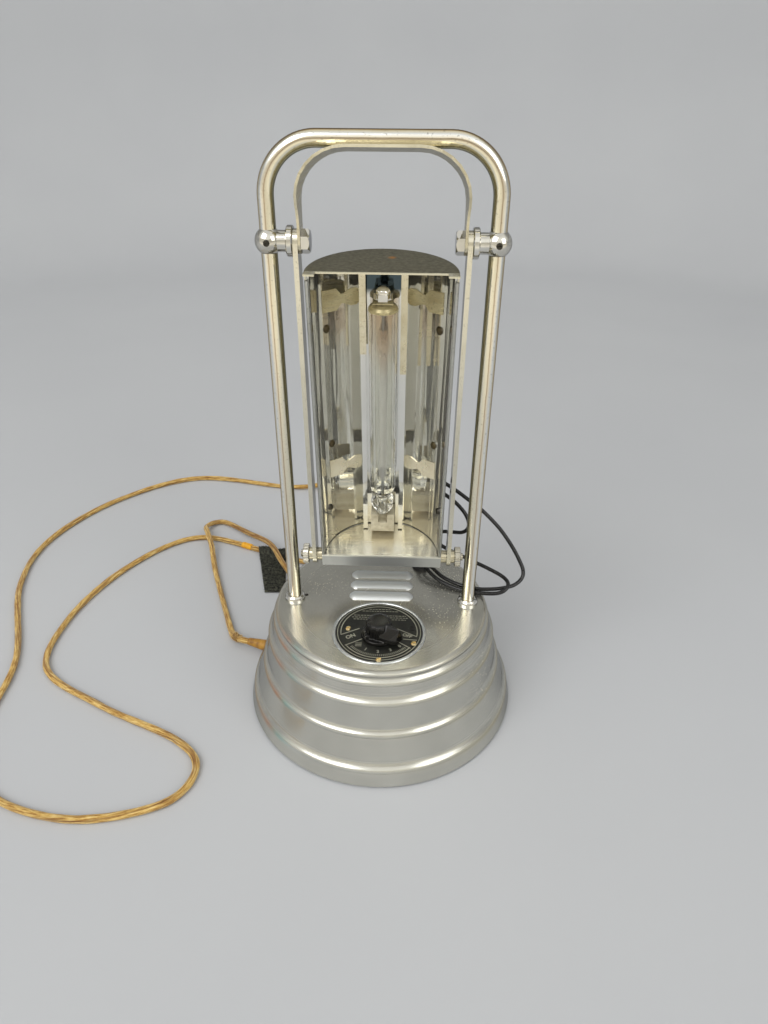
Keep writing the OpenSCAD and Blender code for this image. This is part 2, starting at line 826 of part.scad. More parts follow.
module arc_tube() {
  color("#e6dcc0", 0.5)
  at_lamp(0) rotate_extrude() polygon([[2.6, 62], [3.4, 66], [3.4, 168], [4.6, 172], [4.6, 177],
    [3.4, 181], [3.4, 186], [2.2, 186], [2.2, 180], [3.6, 176.5], [3.6, 172.5], [2.4, 168.5],
    [2.4, 66.2], [1.6, 62]]);
}

module upper_electrode() {
  color("#8d6a3f")
  at_lamp(0) {
    translate([0, 0, 182]) cylinder(r = 1.2, h = 14);
    translate([0, 0, 196]) cylinder(r = 3, h = 3.4);
    translate([0, 0, 179]) sphere(1.5);
  }
}

module lower_electrode() {
  color("#8d8a80")
  at_lamp(0) {
    translate([0, 0, 46.6]) cylinder(r = 1.2, h = 20);
    translate([0, 0, 66]) cylinder(r = 1.7, h = 5);
  }
}

module lead_terminals() {
  color("#d9d2c0")
  in_head() for (x = [-12, 12]) translate([x, 36.4, 46]) rotate([-90, 0, 0]) {
    cylinder(r = 3.45, h = 4);
    translate([0, 0, 4]) cylinder(r1 = 5.2, r2 = 3.6, h = 4.6);
  }
}

// Cords
// The two high-voltage leads, from the bush in the deck round the right leg to the head's back
terminal_end = 45;
lead_stop = [low_y + terminal_end * cos(head_lean) - 46 * sin(head_lean),
  low_z + 46 * cos(head_lean) + terminal_end * sin(head_lean)];
back_dir = [0, -cos(head_lean), -sin(head_lean)];
bush_top = deck_z + 2.6;

lead_a_points = [[36.5, 47, bush_top], [36.6, 46.8, 100], [38.5, 44, 102.5], [44, 36.5, 101],
  [53, 27.5, 98], [66, 19.5, 96.6], [80, 14.5, 96.6], [92, 14, 96.8], [103, 15.5, 97.2],
  [113, 18.5, 98.6], [119.5, 23, 102.5], [120.5, 27, 108], [117.5, 31.5, 114.5],
  [112, 36, 123.5], [105, 40, 133], [97, 44, 142], [84, 49, 153.5], [72, 54, 161],
  [60, 59, 168], [48, 63.5, 173.5], [36, 66, 178], [24, 66, 181.5], [15.5, 62.5, 182.6],
  [12.2, 57, 182.3], [12, lead_stop[0], lead_stop[1]]];
lead_b_points = [[31.5, 49, bush_top], [31.4, 48.6, 100], [32.5, 44.5, 103], [37, 36, 102.5],
  [47, 25, 98.4], [62, 15.5, 96.3], [78, 10, 96.1], [92, 8.5, 96.3], [100, 8.7, 97.4],
  [105, 11, 99.6], [107, 15.2, 101.4], [106, 20, 102.3], [101.5, 25.5, 103.4],
  [92, 31.5, 105.4], [80, 37, 108.3], [68, 42, 111.5], [57, 46.5, 114.5], [48.5, 50, 118.5],
  [46.3, 52.2, 124], [51, 52.8, 128.6], [60, 50.5, 130], [68.5, 48.3, 131.5],
  [73, 48, 136], [73, 49.5, 142.5], [68.5, 53, 150], [60, 58, 157], [48, 63, 163.5],
  [34, 67.5, 169.5], [18, 69.5, 175], [3, 69, 179.5], [-7.5, 65, 182.2], [-11.6, 58.5, 182.5],
  [-12, lead_stop[0], lead_stop[1]]];

module lead_a() {
  color("#121212")
  swept_tube(lead_a_points, lead_d / 2, 8, [0, 0, 1], back_dir);
}

module lead_b() {
  color("#121212")
  swept_tube(lead_b_points, lead_d / 2, 8, [0, 0, 1], back_dir);
}

// The mains cord: it drops from the relief to the floor, folds back at the left, turns behind the
// base, comes out under the strap and wanders round the left side to its plug behind the lamp
cord_r = cord_d / 2;
cord_z = cord_r + 0.05;
plug_axis = [-62, 350, 11];
relief_end = base_r - 1.8 + relief_len;
cord_dir = polar(1, gland_angle, 0);

cord_points = [polar(relief_end, gland_angle, gland_z), [-133, 39.4, 9.4], [-142, 47, 6.8],
  [-152, 66, 3.4], [-188, 156, 3.8], [-202, 198, 8.4], [-213, 224, 9.7], [-219, 241, 6.8],
  [-212, 254, 4.4], [-198, 256, 3.4], [-166, 231, 5.4], [-134, 199, 12.2], [-113, 163, 9.4],
  [-84, 124, cord_z], [-56, 128, cord_z], [-52, 156, cord_z], [-78, 173, cord_z],
  [-112, 185, cord_z], [-147, 200, cord_z], [-214, 223, cord_z], [-258, 201, cord_z],
  [-297, 140, cord_z], [-316, 66, cord_z], [-306, 0, cord_z], [-240, -42, cord_z],
  [-165, -76, cord_z], [-141, -104, cord_z], [-158, -136, cord_z], [-222, -151, cord_z],
  [-290, -132, cord_z], [-327, -80, cord_z], [-340, 10, cord_z], [-391, 125, cord_z],
  [-396, 215, cord_z], [-349, 307, cord_z], [-262, 368, cord_z], [-140, 350, cord_z],
  [-90, 350, 7.6], [-71, 350, 11], plug_axis];

module mains_cord() {
  path = [for (p = smooth_path(cord_points, 2)) [p[0], p[1], max(p[2], cord_z)]];
  color("#b98d45") swept_tube(path, cord_r, 8, cord_dir, [1, 0, 0]);
}

// A band of tape round the cord, and the hook-and-loop strap that lies over the lower strand
strand_angle = -23.2;

module along_strand(p, z) {
  translate([p[0], p[1], z]) rotate([0, 0, strand_angle]) children();
}

module cord_marker() {
  color("#e0a010")
  along_strand([-163, 206.2], 3.65) difference() {
    along_x(-6.5, 3.6, 13);
    along_x(-8, 3.1, 16);
  }
}

module cord_strap() {
  color("#23231f")
  difference() {
    intersection() {
      linear_extrude(10) polygon([[-148, 199], [-118, 207], [-106, 125], [-128, 124]]);
      union() {
        translate([-160, 110, 0]) cube([70, 110, 1.4]);
        along_strand([-130, 192.7], 3.2) along_x(-40, 5.3, 80);
      }
    }
    along_strand([-130, 192.7], 3.4) along_x(-50, 4.2, 100);
  }
}

module plug_body() {
  color("#2d2622")
  translate(plug_axis) rotate([0, 90, 0]) difference() {
    rotate_extrude() polygon([[0, 0], [4.6, 0], [5.4, 8], [8.6, 15], [10.8, 21], [10.9, 37],
      [9.8, 38.5], [0, 38.5]]);
    for (y = [-6.35, 6.35]) translate([-0.8, y - 3.2, 30]) cube([1.6, 6.4, 12]);
  }
}

module plug_pins() {
  color("#c9b37a")
  translate(plug_axis) rotate([0, 90, 0]) for (y = [-6.35, 6.35])
    translate([-0.75, y - 3.15, 30]) cube([1.5, 6.3, 25]);
}

base_shell();
base_plate();
rubber_feet();
base_plate_screws();
transformer_core();
transformer_winding();
transformer_bracket();
transformer_screws();
terminal_strip();
switch_body();
switch_nut();
switch_spindle();
switch_knob();
dial_plate();
dial_screws();
lead_bush();
cord_gland();
strain_relief();
loop_tube();
foot_collars();
tube_lock_nuts();
ball_clamp_left();
ball_clamp_right();
clamp_set_screws();
pivot_bolts();
top_strap();
arm_left();
arm_right();
arm_washers();
thumb_nut_left();
thumb_nut_right();
pivot_studs();
inner_bushes();
head_shell();
head_cap();
bottom_plate();
reflector_left();
reflector_right();
rear_channel();
hanger_strips();
upper_brackets();
lower_brackets();
reflector_rivets();
liner_screws();
burner_block();
burner_hanger();
acorn_nut();
burner_collar();
quartz_envelope();
arc_tube();
upper_electrode();
lower_electrode();
lead_terminals();
lead_a();
lead_b();
mains_cord();
cord_marker();
cord_strap();
plug_body();
plug_pins();
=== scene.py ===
import functools
import math
import random
import bmesh
import bpy
from mathutils import Matrix, Vector


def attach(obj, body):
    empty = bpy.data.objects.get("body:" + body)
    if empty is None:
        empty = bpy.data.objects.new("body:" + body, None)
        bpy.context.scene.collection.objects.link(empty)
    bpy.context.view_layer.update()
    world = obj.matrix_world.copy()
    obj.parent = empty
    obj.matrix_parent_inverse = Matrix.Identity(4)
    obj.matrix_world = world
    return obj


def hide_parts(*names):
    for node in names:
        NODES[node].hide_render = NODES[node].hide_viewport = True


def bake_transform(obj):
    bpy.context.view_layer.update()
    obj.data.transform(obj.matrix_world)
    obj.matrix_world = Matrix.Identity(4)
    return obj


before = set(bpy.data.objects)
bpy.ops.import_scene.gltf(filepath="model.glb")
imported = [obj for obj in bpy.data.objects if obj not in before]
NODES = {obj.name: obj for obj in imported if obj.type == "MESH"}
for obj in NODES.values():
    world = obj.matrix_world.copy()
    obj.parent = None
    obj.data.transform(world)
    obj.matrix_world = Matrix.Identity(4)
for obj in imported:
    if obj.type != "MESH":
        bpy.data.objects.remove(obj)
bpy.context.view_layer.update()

MM = 0.001
scene = bpy.context.scene


# Small helpers

def linear(hexa, alpha=1.0):
    """An sRGB hex colour as the linear colour that a shader wants."""
    out = []
    for i in (1, 3, 5):
        c = int(hexa[i:i + 2], 16) / 255
        out.append(c / 12.92 if c <= 0.04045 else ((c + 0.055) / 1.055) ** 2.4)
    return (*out, alpha)


# What a kind of node is set to unless a call says otherwise
USUAL = {"Mix": {"data_type": "RGBA"}, "Math": {"operation": "MULTIPLY"}}


def add_node(tree, kind, inputs=None, **settings):
    """Adds a node with its settings, and sets or links its inputs by name or number. A shader
    node's kind goes without its ShaderNode. A node given as an input stands for its first
    output that is on, and a hex text for its colour."""
    node = tree.nodes.new(kind if "Node" in kind else "ShaderNode" + kind)
    for key, value in {**USUAL.get(kind, {}), **settings}.items():
        setattr(node, key, value)
    for key, value in (inputs or {}).items():
        if isinstance(value, bpy.types.Node):
            value = next(socket for socket in value.outputs if socket.enabled)
        elif isinstance(value, str):
            value = linear(value)
        if isinstance(value, bpy.types.NodeSocket):
            tree.links.new(value, node.inputs[key])
        else:
            node.inputs[key].default_value = value
    return node


def adder(tree):
    """Empties a tree and gives the function that adds nodes to it."""
    tree.nodes.clear()
    return functools.partial(add_node, tree)


def as_material(recipe):
    """Makes a maker of named materials from a recipe, which adds nodes and gives the inputs
    of the shader."""
    def make(name, *values, **settings):
        material = bpy.data.materials.new(name)
        material.use_nodes = True
        add = adder(material.node_tree)
        shader = add("BsdfPrincipled", recipe(add, *values, **settings))
        add("OutputMaterial", {"Surface": shader})
        return material
    return make


def stops(ramp, values):
    """Fills a colour ramp with stops: a place, a hex colour and, if it isn't 1, an alpha."""
    points = ramp.color_ramp.elements
    while len(points) > 1:
        points.remove(points[-1])
    for i, (place, colour, *alpha) in enumerate(values):
        point = points[0] if i == 0 else points.new(place)
        point.position = place
        point.color = linear(colour, *alpha)


def linked(name, data):
    """An object of the scene at the origin."""
    obj = bpy.data.objects.new(name, data)
    scene.collection.objects.link(obj)
    return obj


def dress(obj, material):
    """Gives an object one material."""
    obj.data.materials.clear()
    obj.data.materials.append(material)


def new_object(name, verts, faces, material, smooth=True):
    """A mesh object."""
    mesh = bpy.data.meshes.new(name)
    mesh.from_pydata([tuple(v) for v in verts], [], [tuple(f) for f in faces])
    mesh.materials.append(material)
    mesh.polygons.foreach_set("use_smooth", [smooth] * len(mesh.polygons))
    mesh.update()
    return linked(name, mesh)


def turn_outwards(obj):
    """Merges doubles and points every face outwards."""
    bm = bmesh.new()
    bm.from_mesh(obj.data)
    bmesh.ops.remove_doubles(bm, verts=bm.verts, dist=1e-7)
    bmesh.ops.recalc_face_normals(bm, faces=bm.faces)
    bm.to_mesh(obj.data)
    bm.free()


def plain_mesh(name, source):
    """The evaluated shape of an object as a plain mesh object, the source removed."""
    mesh = bpy.data.meshes.new_from_object(
        source.evaluated_get(bpy.context.evaluated_depsgraph_get()))
    obj = linked(name, mesh)
    bpy.data.objects.remove(source, do_unlink=True)
    return obj


# Camera, at the photograph's place

camera = bpy.data.cameras.new("camera")
camera.lens = 24.61
camera.sensor_width = 36
camera.sensor_fit = "AUTO"
camera.clip_start = 0.01
camera_object = linked("camera", camera)
camera_object.location = (0.016, -0.463, 0.4607)
pitch, yaw, roll = math.radians(31.26), math.radians(1.74), math.radians(0.42)
turned = Matrix.Rotation(yaw, 4, "Z") @ Matrix.Rotation(math.pi / 2 - pitch, 4, "X")
camera_object.rotation_euler = (turned @ Matrix.Rotation(roll, 4, "Z")).to_euler()
scene.camera = camera_object


# Routes of the cords, in millimetres, as in the part's source

CORD_R, LEAD_R = 3.0, 1.65
# The cord's yarns and cores wind round it once in about 400 mm: radians per mm
TWIST = 0.0157
GLAND_ANGLE = math.radians(163.5)
CORD_Z = 3.05
RELIEF_END = 132.2
GLAND_Z = 9.5
PLUG_AXIS = (-62, 350, 11)
# A point with two numbers lies on the floor
cord_points = [(*point, CORD_Z)[:3] for point in (
    (RELIEF_END * math.cos(GLAND_ANGLE), RELIEF_END * math.sin(GLAND_ANGLE), GLAND_Z),
    (-133, 39.4, 9.4), (-142, 47, 6.8), (-152, 66, 3.4), (-188, 156, 3.8), (-202, 198, 8.4),
    (-213, 224, 9.7), (-219, 241, 6.8), (-212, 254, 4.4), (-198, 256, 3.4), (-166, 231, 5.4),
    (-134, 199, 12.2), (-113, 163, 9.4), (-84, 124), (-56, 128), (-52, 156), (-78, 173),
    (-112, 185), (-147, 200), (-214, 223), (-258, 201), (-297, 140), (-316, 66), (-306, 0),
    (-240, -42), (-165, -76), (-141, -104), (-158, -136), (-222, -151), (-290, -132),
    (-327, -80), (-340, 10), (-391, 125), (-396, 215), (-349, 307), (-262, 368), (-140, 350),
    (-90, 350, 7.6), (-71, 350, 11), PLUG_AXIS)]

LAMP_LOW = (10.997, 131.546)
HEAD_LEAN = math.radians(5.5)


def in_head(x, y, z):
    """A point given in the head's own upright frame, in the row frame, in millimetres."""
    c, s = math.cos(HEAD_LEAN), math.sin(HEAD_LEAN)
    return (x, LAMP_LOW[0] + y * c - z * s, LAMP_LOW[1] + y * s + z * c)


BUSH_TOP = 96.6
lead_a_points = [
    (36.5, 47, BUSH_TOP), (36.6, 46.8, 100), (38.5, 44, 102.5), (44, 36.5, 101),
    (53, 27.5, 98), (66, 19.5, 96.6), (80, 14.5, 96.6), (92, 14, 96.8), (103, 15.5, 97.2),
    (113, 18.5, 98.6), (119.5, 23, 102.5), (120.5, 27, 108), (117.5, 31.5, 114.5),
    (112, 36, 123.5), (105, 40, 133), (97, 44, 142), (84, 49, 153.5), (72, 54, 161),
    (60, 59, 168), (48, 63.5, 173.5), (36, 66, 178), (24, 66, 181.5), (15.5, 62.5, 182.6),
    (12.2, 57, 182.3), in_head(12, 45, 46)]
lead_b_points = [
    (31.5, 49, BUSH_TOP), (31.4, 48.6, 100), (32.5, 44.5, 103), (37, 36, 102.5),
    (47, 25, 98.4), (62, 15.5, 96.3), (78, 10, 96.1), (92, 8.5, 96.3), (100, 8.7, 97.4),
    (105, 11, 99.6), (107, 15.2, 101.4), (106, 20, 102.3), (101.5, 25.5, 103.4),
    (92, 31.5, 105.4), (80, 37, 108.3), (68, 42, 111.5), (57, 46.5, 114.5), (48.5, 50, 118.5),
    (46.3, 52.2, 124), (51, 52.8, 128.6), (60, 50.5, 130), (68.5, 48.3, 131.5),
    (73, 48, 136), (73, 49.5, 142.5), (68.5, 53, 150), (60, 58, 157), (48, 63, 163.5),
    (34, 67.5, 169.5), (18, 69.5, 175), (3, 69, 179.5), (-7.5, 65, 182.2),
    (-11.6, 58.5, 182.5), in_head(-12, 45, 46)]


def spline(p, i, t):
    """A point on the smooth curve through the route's points."""
    a, b, c, d = (Vector(p[k]) for k in (max(i - 1, 0), i, i + 1, min(i + 2, len(p) - 1)))
    return 0.5 * (2 * b + (c - a) * t + (2 * a - 5 * b + 4 * c - d) * t * t
                  + (3 * b - a - 3 * c + d) * t ** 3)


def smooth_path(p, steps, lowest=-1e9):
    """The whole curve, kept off the floor."""
    path = [spline(p, i, s / steps) for i in range(len(p) - 1) for s in range(steps)]
    path.append(Vector(p[-1]))
    for q in path:
        q.z = max(q.z, lowest)
    return path


def runs_along(path):
    """The distance of each point from the start."""
    runs = [0.0]
    for a, b in zip(path, path[1:]):
        runs.append(runs[-1] + (b - a).length)
    return runs


def even_path(path, spacing):
    """The same line with points an even distance apart."""
    runs = runs_along(path)
    count = max(2, round(runs[-1] / spacing))
    out, k = [], 0
    for i in range(count + 1):
        want = runs[-1] * i / count
        while k < len(path) - 2 and runs[k + 1] < want:
            k += 1
        share = (want - runs[k]) / max(runs[k + 1] - runs[k], 1e-9)
        out.append(path[k].lerp(path[k + 1], min(max(share, 0), 1)))
    return out


def frames_along(path):
    """Tangent, level side and up direction at each point, never twisting."""
    out, side = [], None
    for i in range(len(path)):
        t = (path[min(i + 1, len(path) - 1)] - path[max(i - 1, 0)]).normalized()
        if side is None:
            side = t.cross(Vector((0, 0, 1)))
            if side.length < 0.2:
                side = Vector((1, 0, 0))
        side = (side - t * side.dot(t)).normalized()
        out.append((t, side, t.cross(side)))
    return out


def shell_faces(rings, sides, first=0):
    """The faces of a shell lofted through rings of points and closed at both ends."""
    faces = []
    for a in range(first, first + (rings - 1) * sides):
        b = a + 1 if (a + 1 - first) % sides else a + 1 - sides
        faces.append((a, b, b + sides, a + sides))
    last = first + (rings - 1) * sides
    return faces + [tuple(reversed(range(first, first + sides))), tuple(range(last, last + sides))]


def tube(name, path, radius, sides, material):
    """A closed tube along a path in millimetres. radius is a number or a function of
    (distance, angle). Its UV map holds the distance along it in mm and the share of a turn."""
    dist, verts = runs_along(path), []
    for q, (t, u, w), d in zip(path, frames_along(path), dist):
        for k in range(sides):
            angle = 2 * math.pi * k / sides
            r = radius(d, angle) if callable(radius) else radius
            verts.append((q + r * (math.cos(angle) * u + math.sin(angle) * w)) * MM)
    shares = [k / sides for k in range(sides + 1)]
    uvs = [uv for a, b in zip(dist, dist[1:]) for s, t in zip(shares, shares[1:])
           for uv in ((a, s), (a, t), (b, t), (b, s))]
    uvs += [(0.0, s) for s in reversed(shares[:-1])] + [(dist[-1], s) for s in shares[:-1]]
    obj = new_object(name, verts, shell_faces(len(path), sides), material)
    layer = obj.data.uv_layers.new(name="run")
    layer.data.foreach_set("uv", [c for uv in uvs for c in uv])
    turn_outwards(obj)
    return obj


def stretched(add, place, lines, detail=2.0, roughness=0.5):
    """Noise with so many lines per unit of length along each axis."""
    place = add("Mapping", {"Vector": place, "Scale": lines})
    return add("TexNoise",
        {"Vector": place, "Scale": 1.0, "Detail": detail, "Roughness": roughness})


# Metals

# Plated metals reflect a little less just before grazing, which draws their outlines
EDGE_TINT = (0.5, 0.51, 0.54, 1)


@as_material
def worn_metal(add, colour, stain, smoothest, roughest, lines, stained=0.4, specks=0.0,
               wave=0.02, metallic=1.0):
    """A bare or plated metal. lines gives the lines per metre across, front to back and up:
    few along the direction that it was rolled, drawn or brushed in, many across it."""
    place = add("TexCoord").outputs["Object"]
    cloud = add("TexNoise", {"Vector": place, "Scale": 46.0, "Detail": 6.0})
    grain = stretched(add, place, lines, 3.0)
    tone = add("MapRange", {0: cloud, 1: 0.38, 2: 0.7, 4: stained})
    grained = add("Math", {0: tone, 1: grain})
    tinted = add("Mix", {0: grained, 6: colour, 7: stain})
    dots = add("TexNoise", {"Vector": place, "Scale": 900.0, "Detail": 1.0})
    pits = add("MapRange", {0: dots, 1: 0.62, 2: 0.7, 4: specks})
    pit = tuple(c * 0.35 for c in linear(stain)[:3]) + (1,)
    pitted = add("Mix", {0: pits, 6: tinted, 7: pit})
    rough = add("MapRange", {0: grain, 1: 0.3, 2: 0.72, 3: smoothest, 4: roughest})
    relief = add("Bump", {"Distance": wave * MM, "Height": grain})
    return {"Base Color": pitted, "Metallic": metallic, "Roughness": rough, "Normal": relief,
        "Specular Tint": EDGE_TINT}


def head_place(add):
    """Object coordinates turned into the head's own upright frame, in metres."""
    return add("Mapping", {
        "Vector": add("TexCoord").outputs["Object"],
        "Location": (0, LAMP_LOW[0] * MM, LAMP_LOW[1] * MM),
        "Rotation": (HEAD_LEAN, 0, 0)}, vector_type="TEXTURE").outputs[0]


@as_material
def spun_aluminium(add):
    """Aluminium sheet spun over a former: fine rings round the axis, satin on the deck and
    walls, rubbed bright on the beads, with heat tints at the left and salt spots at the right."""
    place = add("TexCoord").outputs["Object"]
    x, y, z = add("SeparateXYZ", {0: place}).outputs
    flat = add("CombineXYZ", {0: x, 1: y})
    radius = add("VectorMath", {0: flat}, operation="LENGTH").outputs[1]
    # The tool marks are about 0.3 mm apart, drawn about 1.2 mm apart so that they show
    ring_place = add("CombineXYZ", {0: radius, 1: z})
    rings = add("TexNoise", {"Vector": ring_place, "Scale": 820.0})
    cloud = add("TexNoise", {"Vector": place, "Scale": 34.0, "Detail": 6.0})
    body = add("Mix", {0: cloud, 6: "#b6b5ad", 7: "#d3d2ca"})
    # Raised beads, the rim of the deck, and everything pressed up out of the deck
    height = add("MapRange", {0: z, 2: 0.1})
    beads = add("ValToRGB", {0: height})
    stops(beads, [stop for low, crest, high, tone in (
        (0.1, 0.142, 0.176, "#ffffff"), (0.385, 0.418, 0.452, "#ffffff"),
        (0.655, 0.688, 0.722, "#ffffff"), (0.815, 0.845, 0.875, "#ffffff"),
        (0.9, 0.925, 0.9395, "#cccccc"))
        for stop in ((low, "#000000"), (crest, tone), (high, "#000000"))])
    turn = add("Math", {0: y, 1: x}, operation="ARCTAN2")
    share = add("MapRange", {0: turn, 1: -math.pi, 2: math.pi})
    tint = add("ValToRGB", {0: share})
    stops(tint, [(0.0, "#b7a274", 0.85), (0.06, "#c69a52", 0.95), (0.1, "#d88a4e"),
                 (0.122, "#9fd2c8", 0.95), (0.15, "#e8eae4", 0.5), (0.24, "#e6e4d8", 0.5),
                 (0.34, "#dcd6b8", 0.5), (0.4, "#c9bb8d", 0.75), (0.5, "#c2b184", 0.8),
                 (0.6, "#c9c4ac", 0.4), (0.9, "#c9c4ac", 0.4), (1.0, "#b7a274", 0.75)])
    worn = add("Math", {0: cloud, 1: 1.5})
    patch = add("Math", {0: worn, 1: tint.outputs[1]})
    lit = add("Math", {0: patch, 1: beads}, use_clamp=True)
    tinted = add("Mix", {0: lit, 6: body, 7: tint})
    # The louvres and the dial's rim stand proud and are rubbed pale, the louvres more matt
    raised = add("MapRange", {0: z, 1: 0.0942, 2: 0.0945})
    behind = add("MapRange", {0: y, 1: -0.0055, 2: -0.0045})
    louvres = add("Math", {0: raised, 1: behind})
    tinted = add("Mix", {0: raised, 6: tinted, 7: "#cdd0d0"})
    # Salt spots of about a millimetre, thickest behind the right leg
    cells = add("TexVoronoi", {"Vector": place, "Scale": 430.0})
    centres = [((0.06, 0.026, 0.094), 0.06), ((-0.052, 0.022, 0.094), 0.045),
               ((0.09, -0.05, 0.06), 0.055), ((0.045, -0.02, 0.094), 0.045)]
    near = None
    for centre, reach in centres:
        gap = add("VectorMath", {0: place, 1: centre}, operation="DISTANCE")
        close = add("MapRange", {0: gap, 2: reach, 3: 0.24, 4: 0.0})
        near = close if near is None else add("Math", {0: near, 1: close}, operation="MAXIMUM")
    spot = add("Math", {0: near, 1: cells}, operation="SUBTRACT")
    salt = add("MapRange", {0: spot, 2: 0.06})
    spotted = add("Mix", {0: salt, 6: tinted, 7: "#d8d2ba"})
    satin = add("MapRange", {0: rings, 1: 0.3, 2: 0.7, 3: 0.19, 4: 0.28})
    rough = add("Math", {0: salt, 1: 0.35, 2: satin}, operation="MULTIPLY_ADD")
    rough = add("Math", {0: louvres, 1: 0.2, 2: rough}, operation="MULTIPLY_ADD")
    bare = add("Math", {0: salt, 1: -0.7, 2: 0.84}, operation="MULTIPLY_ADD")
    bare = add("Math", {0: louvres, 1: -0.3, 2: bare}, operation="MULTIPLY_ADD", use_clamp=True)
    # A faint hand-made waviness that breaks up the reflections
    dents = add("TexNoise", {"Vector": place, "Scale": 55.0, "Detail": 1.0})
    wavy = add("Bump", {"Distance": 0.00012, "Height": dents})
    turned_marks = add("Bump", {"Distance": 0.000004, "Height": rings, "Normal": wavy})
    around = add("Tangent", direction_type="RADIAL", axis="Z")
    return {"Base Color": spotted, "Metallic": bare, "Roughness": rough, "Normal": turned_marks,
        "Specular Tint": EDGE_TINT, "Anisotropic": 0.35, "Anisotropic Rotation": 0.25,
        "Tangent": around}


# Centres of the loop's two bends, to each side and up, and their radius, in metres
BEND_X, BEND_Z, BEND_R = 0.04, 0.403, 0.032


@as_material
def nickel_tube(add):
    """Drawn steel tube, nickel plated and buffed lengthwise, with painted reflections: long bands
    of cream, white, tan and olive run along it at fixed turns round the tube, a painted highlight
    between the front and the outside, tan painted reflection on the outside and painted shade on
    the inside of the loop."""
    place = add("TexCoord").outputs["Object"]
    x, y, z = add("SeparateXYZ", {0: place}).outputs
    size = add("Math", {0: x}, operation="ABSOLUTE")
    out_x = add("Math", {0: size, 1: BEND_X}, operation="SUBTRACT")
    out_x = add("Math", {0: out_x, 1: 0.0}, operation="MAXIMUM")
    side = add("Math", {0: x}, operation="SIGN")
    out_x = add("Math", {0: out_x, 1: side})
    out_z = add("Math", {0: z, 1: BEND_Z}, operation="SUBTRACT")
    out_z = add("Math", {0: out_z, 1: 0.0}, operation="MAXIMUM")
    outward = add("CombineXYZ", {0: out_x, 2: out_z})
    along = add("VectorMath", {0: outward, 1: (0, 1, 0)}, operation="CROSS_PRODUCT")
    along = add("VectorMath", {0: along}, operation="NORMALIZE")
    cloud = add("TexNoise", {"Vector": place, "Scale": 60.0, "Detail": 6.0})
    dots = add("TexNoise", {"Vector": place, "Scale": 800.0, "Detail": 1.0})
    pits = add("MapRange", {0: dots, 1: 0.66, 2: 0.72, 4: 0.4})
    # The turn round the tube's own axis: 0 inside the loop, 0.25 in front, 0.5 outside it
    reach = add("VectorMath", {0: outward}, operation="LENGTH")
    reach = add("Math", {0: reach, 1: BEND_R}, operation="SUBTRACT")
    turn = add("Math", {0: y, 1: reach}, operation="ARCTAN2")
    turn = add("MapRange", {0: turn, 1: -math.pi, 2: math.pi})
    drift = add("Math", {0: cloud, 1: 0.03, 2: turn}, operation="MULTIPLY_ADD")
    drift = add("Math", {0: drift, 1: 0.015}, operation="SUBTRACT")
    # Painted reflection and shade: olive inside the loop, cream towards the front, near white
    # painted highlight past it, tan and brown outside
    bands = add("ValToRGB", {0: drift})
    stops(bands, [(0.0, "#86826c"), (0.07, "#8f8b73"), (0.11, "#cfc9ae"), (0.16, "#efe9d3"),
                  (0.235, "#efe7cf"), (0.255, "#b59f86"), (0.275, "#ece2cc"), (0.34, "#f3f5f4"),
                  (0.39, "#e6dcc0"), (0.44, "#c5a778"), (0.52, "#a98a5c"), (0.6, "#d9d2ba"),
                  (0.9, "#cdc8b4"), (1.0, "#86826c")])
    spotted = add("Mix", {0: pits, 6: bands, 7: "#7d7460"})
    rough = add("MapRange", {0: cloud, 1: 0.3, 2: 0.7, 3: 0.1, 4: 0.16})
    return {"Base Color": spotted, "Metallic": 1.0, "Roughness": rough, "Specular Tint": EDGE_TINT,
        "Anisotropic": 0.6, "Tangent": along}


@as_material
def mirror_liner(add):
    """Bright-dipped aluminium sheet, sprung into a curve: a near mirror with long upright waves
    that pull reflections into streaks, a painted shade line along its foot where it meets the
    floor, and painted shade at the top of the channel behind the burner's nut."""
    place = head_place(add)
    _, deep, high = add("SeparateXYZ", {0: place}).outputs
    # Painted shade: a dark line along the foot, where the liner meets the floor
    painted_foot_shade = add("MapRange", {0: high, 1: 0.0068, 2: 0.0076, 3: 1.0, 4: 0.0})
    waves = stretched(add, place, (95, 95, 6), 1.5)
    cloud = add("TexNoise", {"Vector": place, "Scale": 90.0, "Detail": 5.0})
    tone = add("Mix", {0: cloud, 6: "#f2f1ec", 7: "#e2e1d9"})
    # Painted shade: behind the burner's nut the top of the channel is painted dull dark blue-grey,
    # like its back, for the shadowed inner wall of the shell above it
    far = add("MapRange", {0: deep, 1: 0.0338, 2: 0.0342})
    top = add("MapRange", {0: high, 1: 0.204, 2: 0.209})
    painted_top_shade = add("Math", {0: far, 1: top})
    with_painted_top_shade = add("Mix", {0: painted_top_shade, 6: tone, 7: "#4a575d"})
    dark = add("Mix", {0: painted_foot_shade, 6: with_painted_top_shade, 7: "#2a2418"})
    rough = add("MapRange", {0: cloud, 1: 0.3, 2: 0.7, 3: 0.03, 4: 0.09})
    relief = add("Bump", {"Distance": 0.0007, "Height": waves})
    return {"Base Color": dark, "Metallic": 0.92, "Roughness": rough, "Normal": relief}


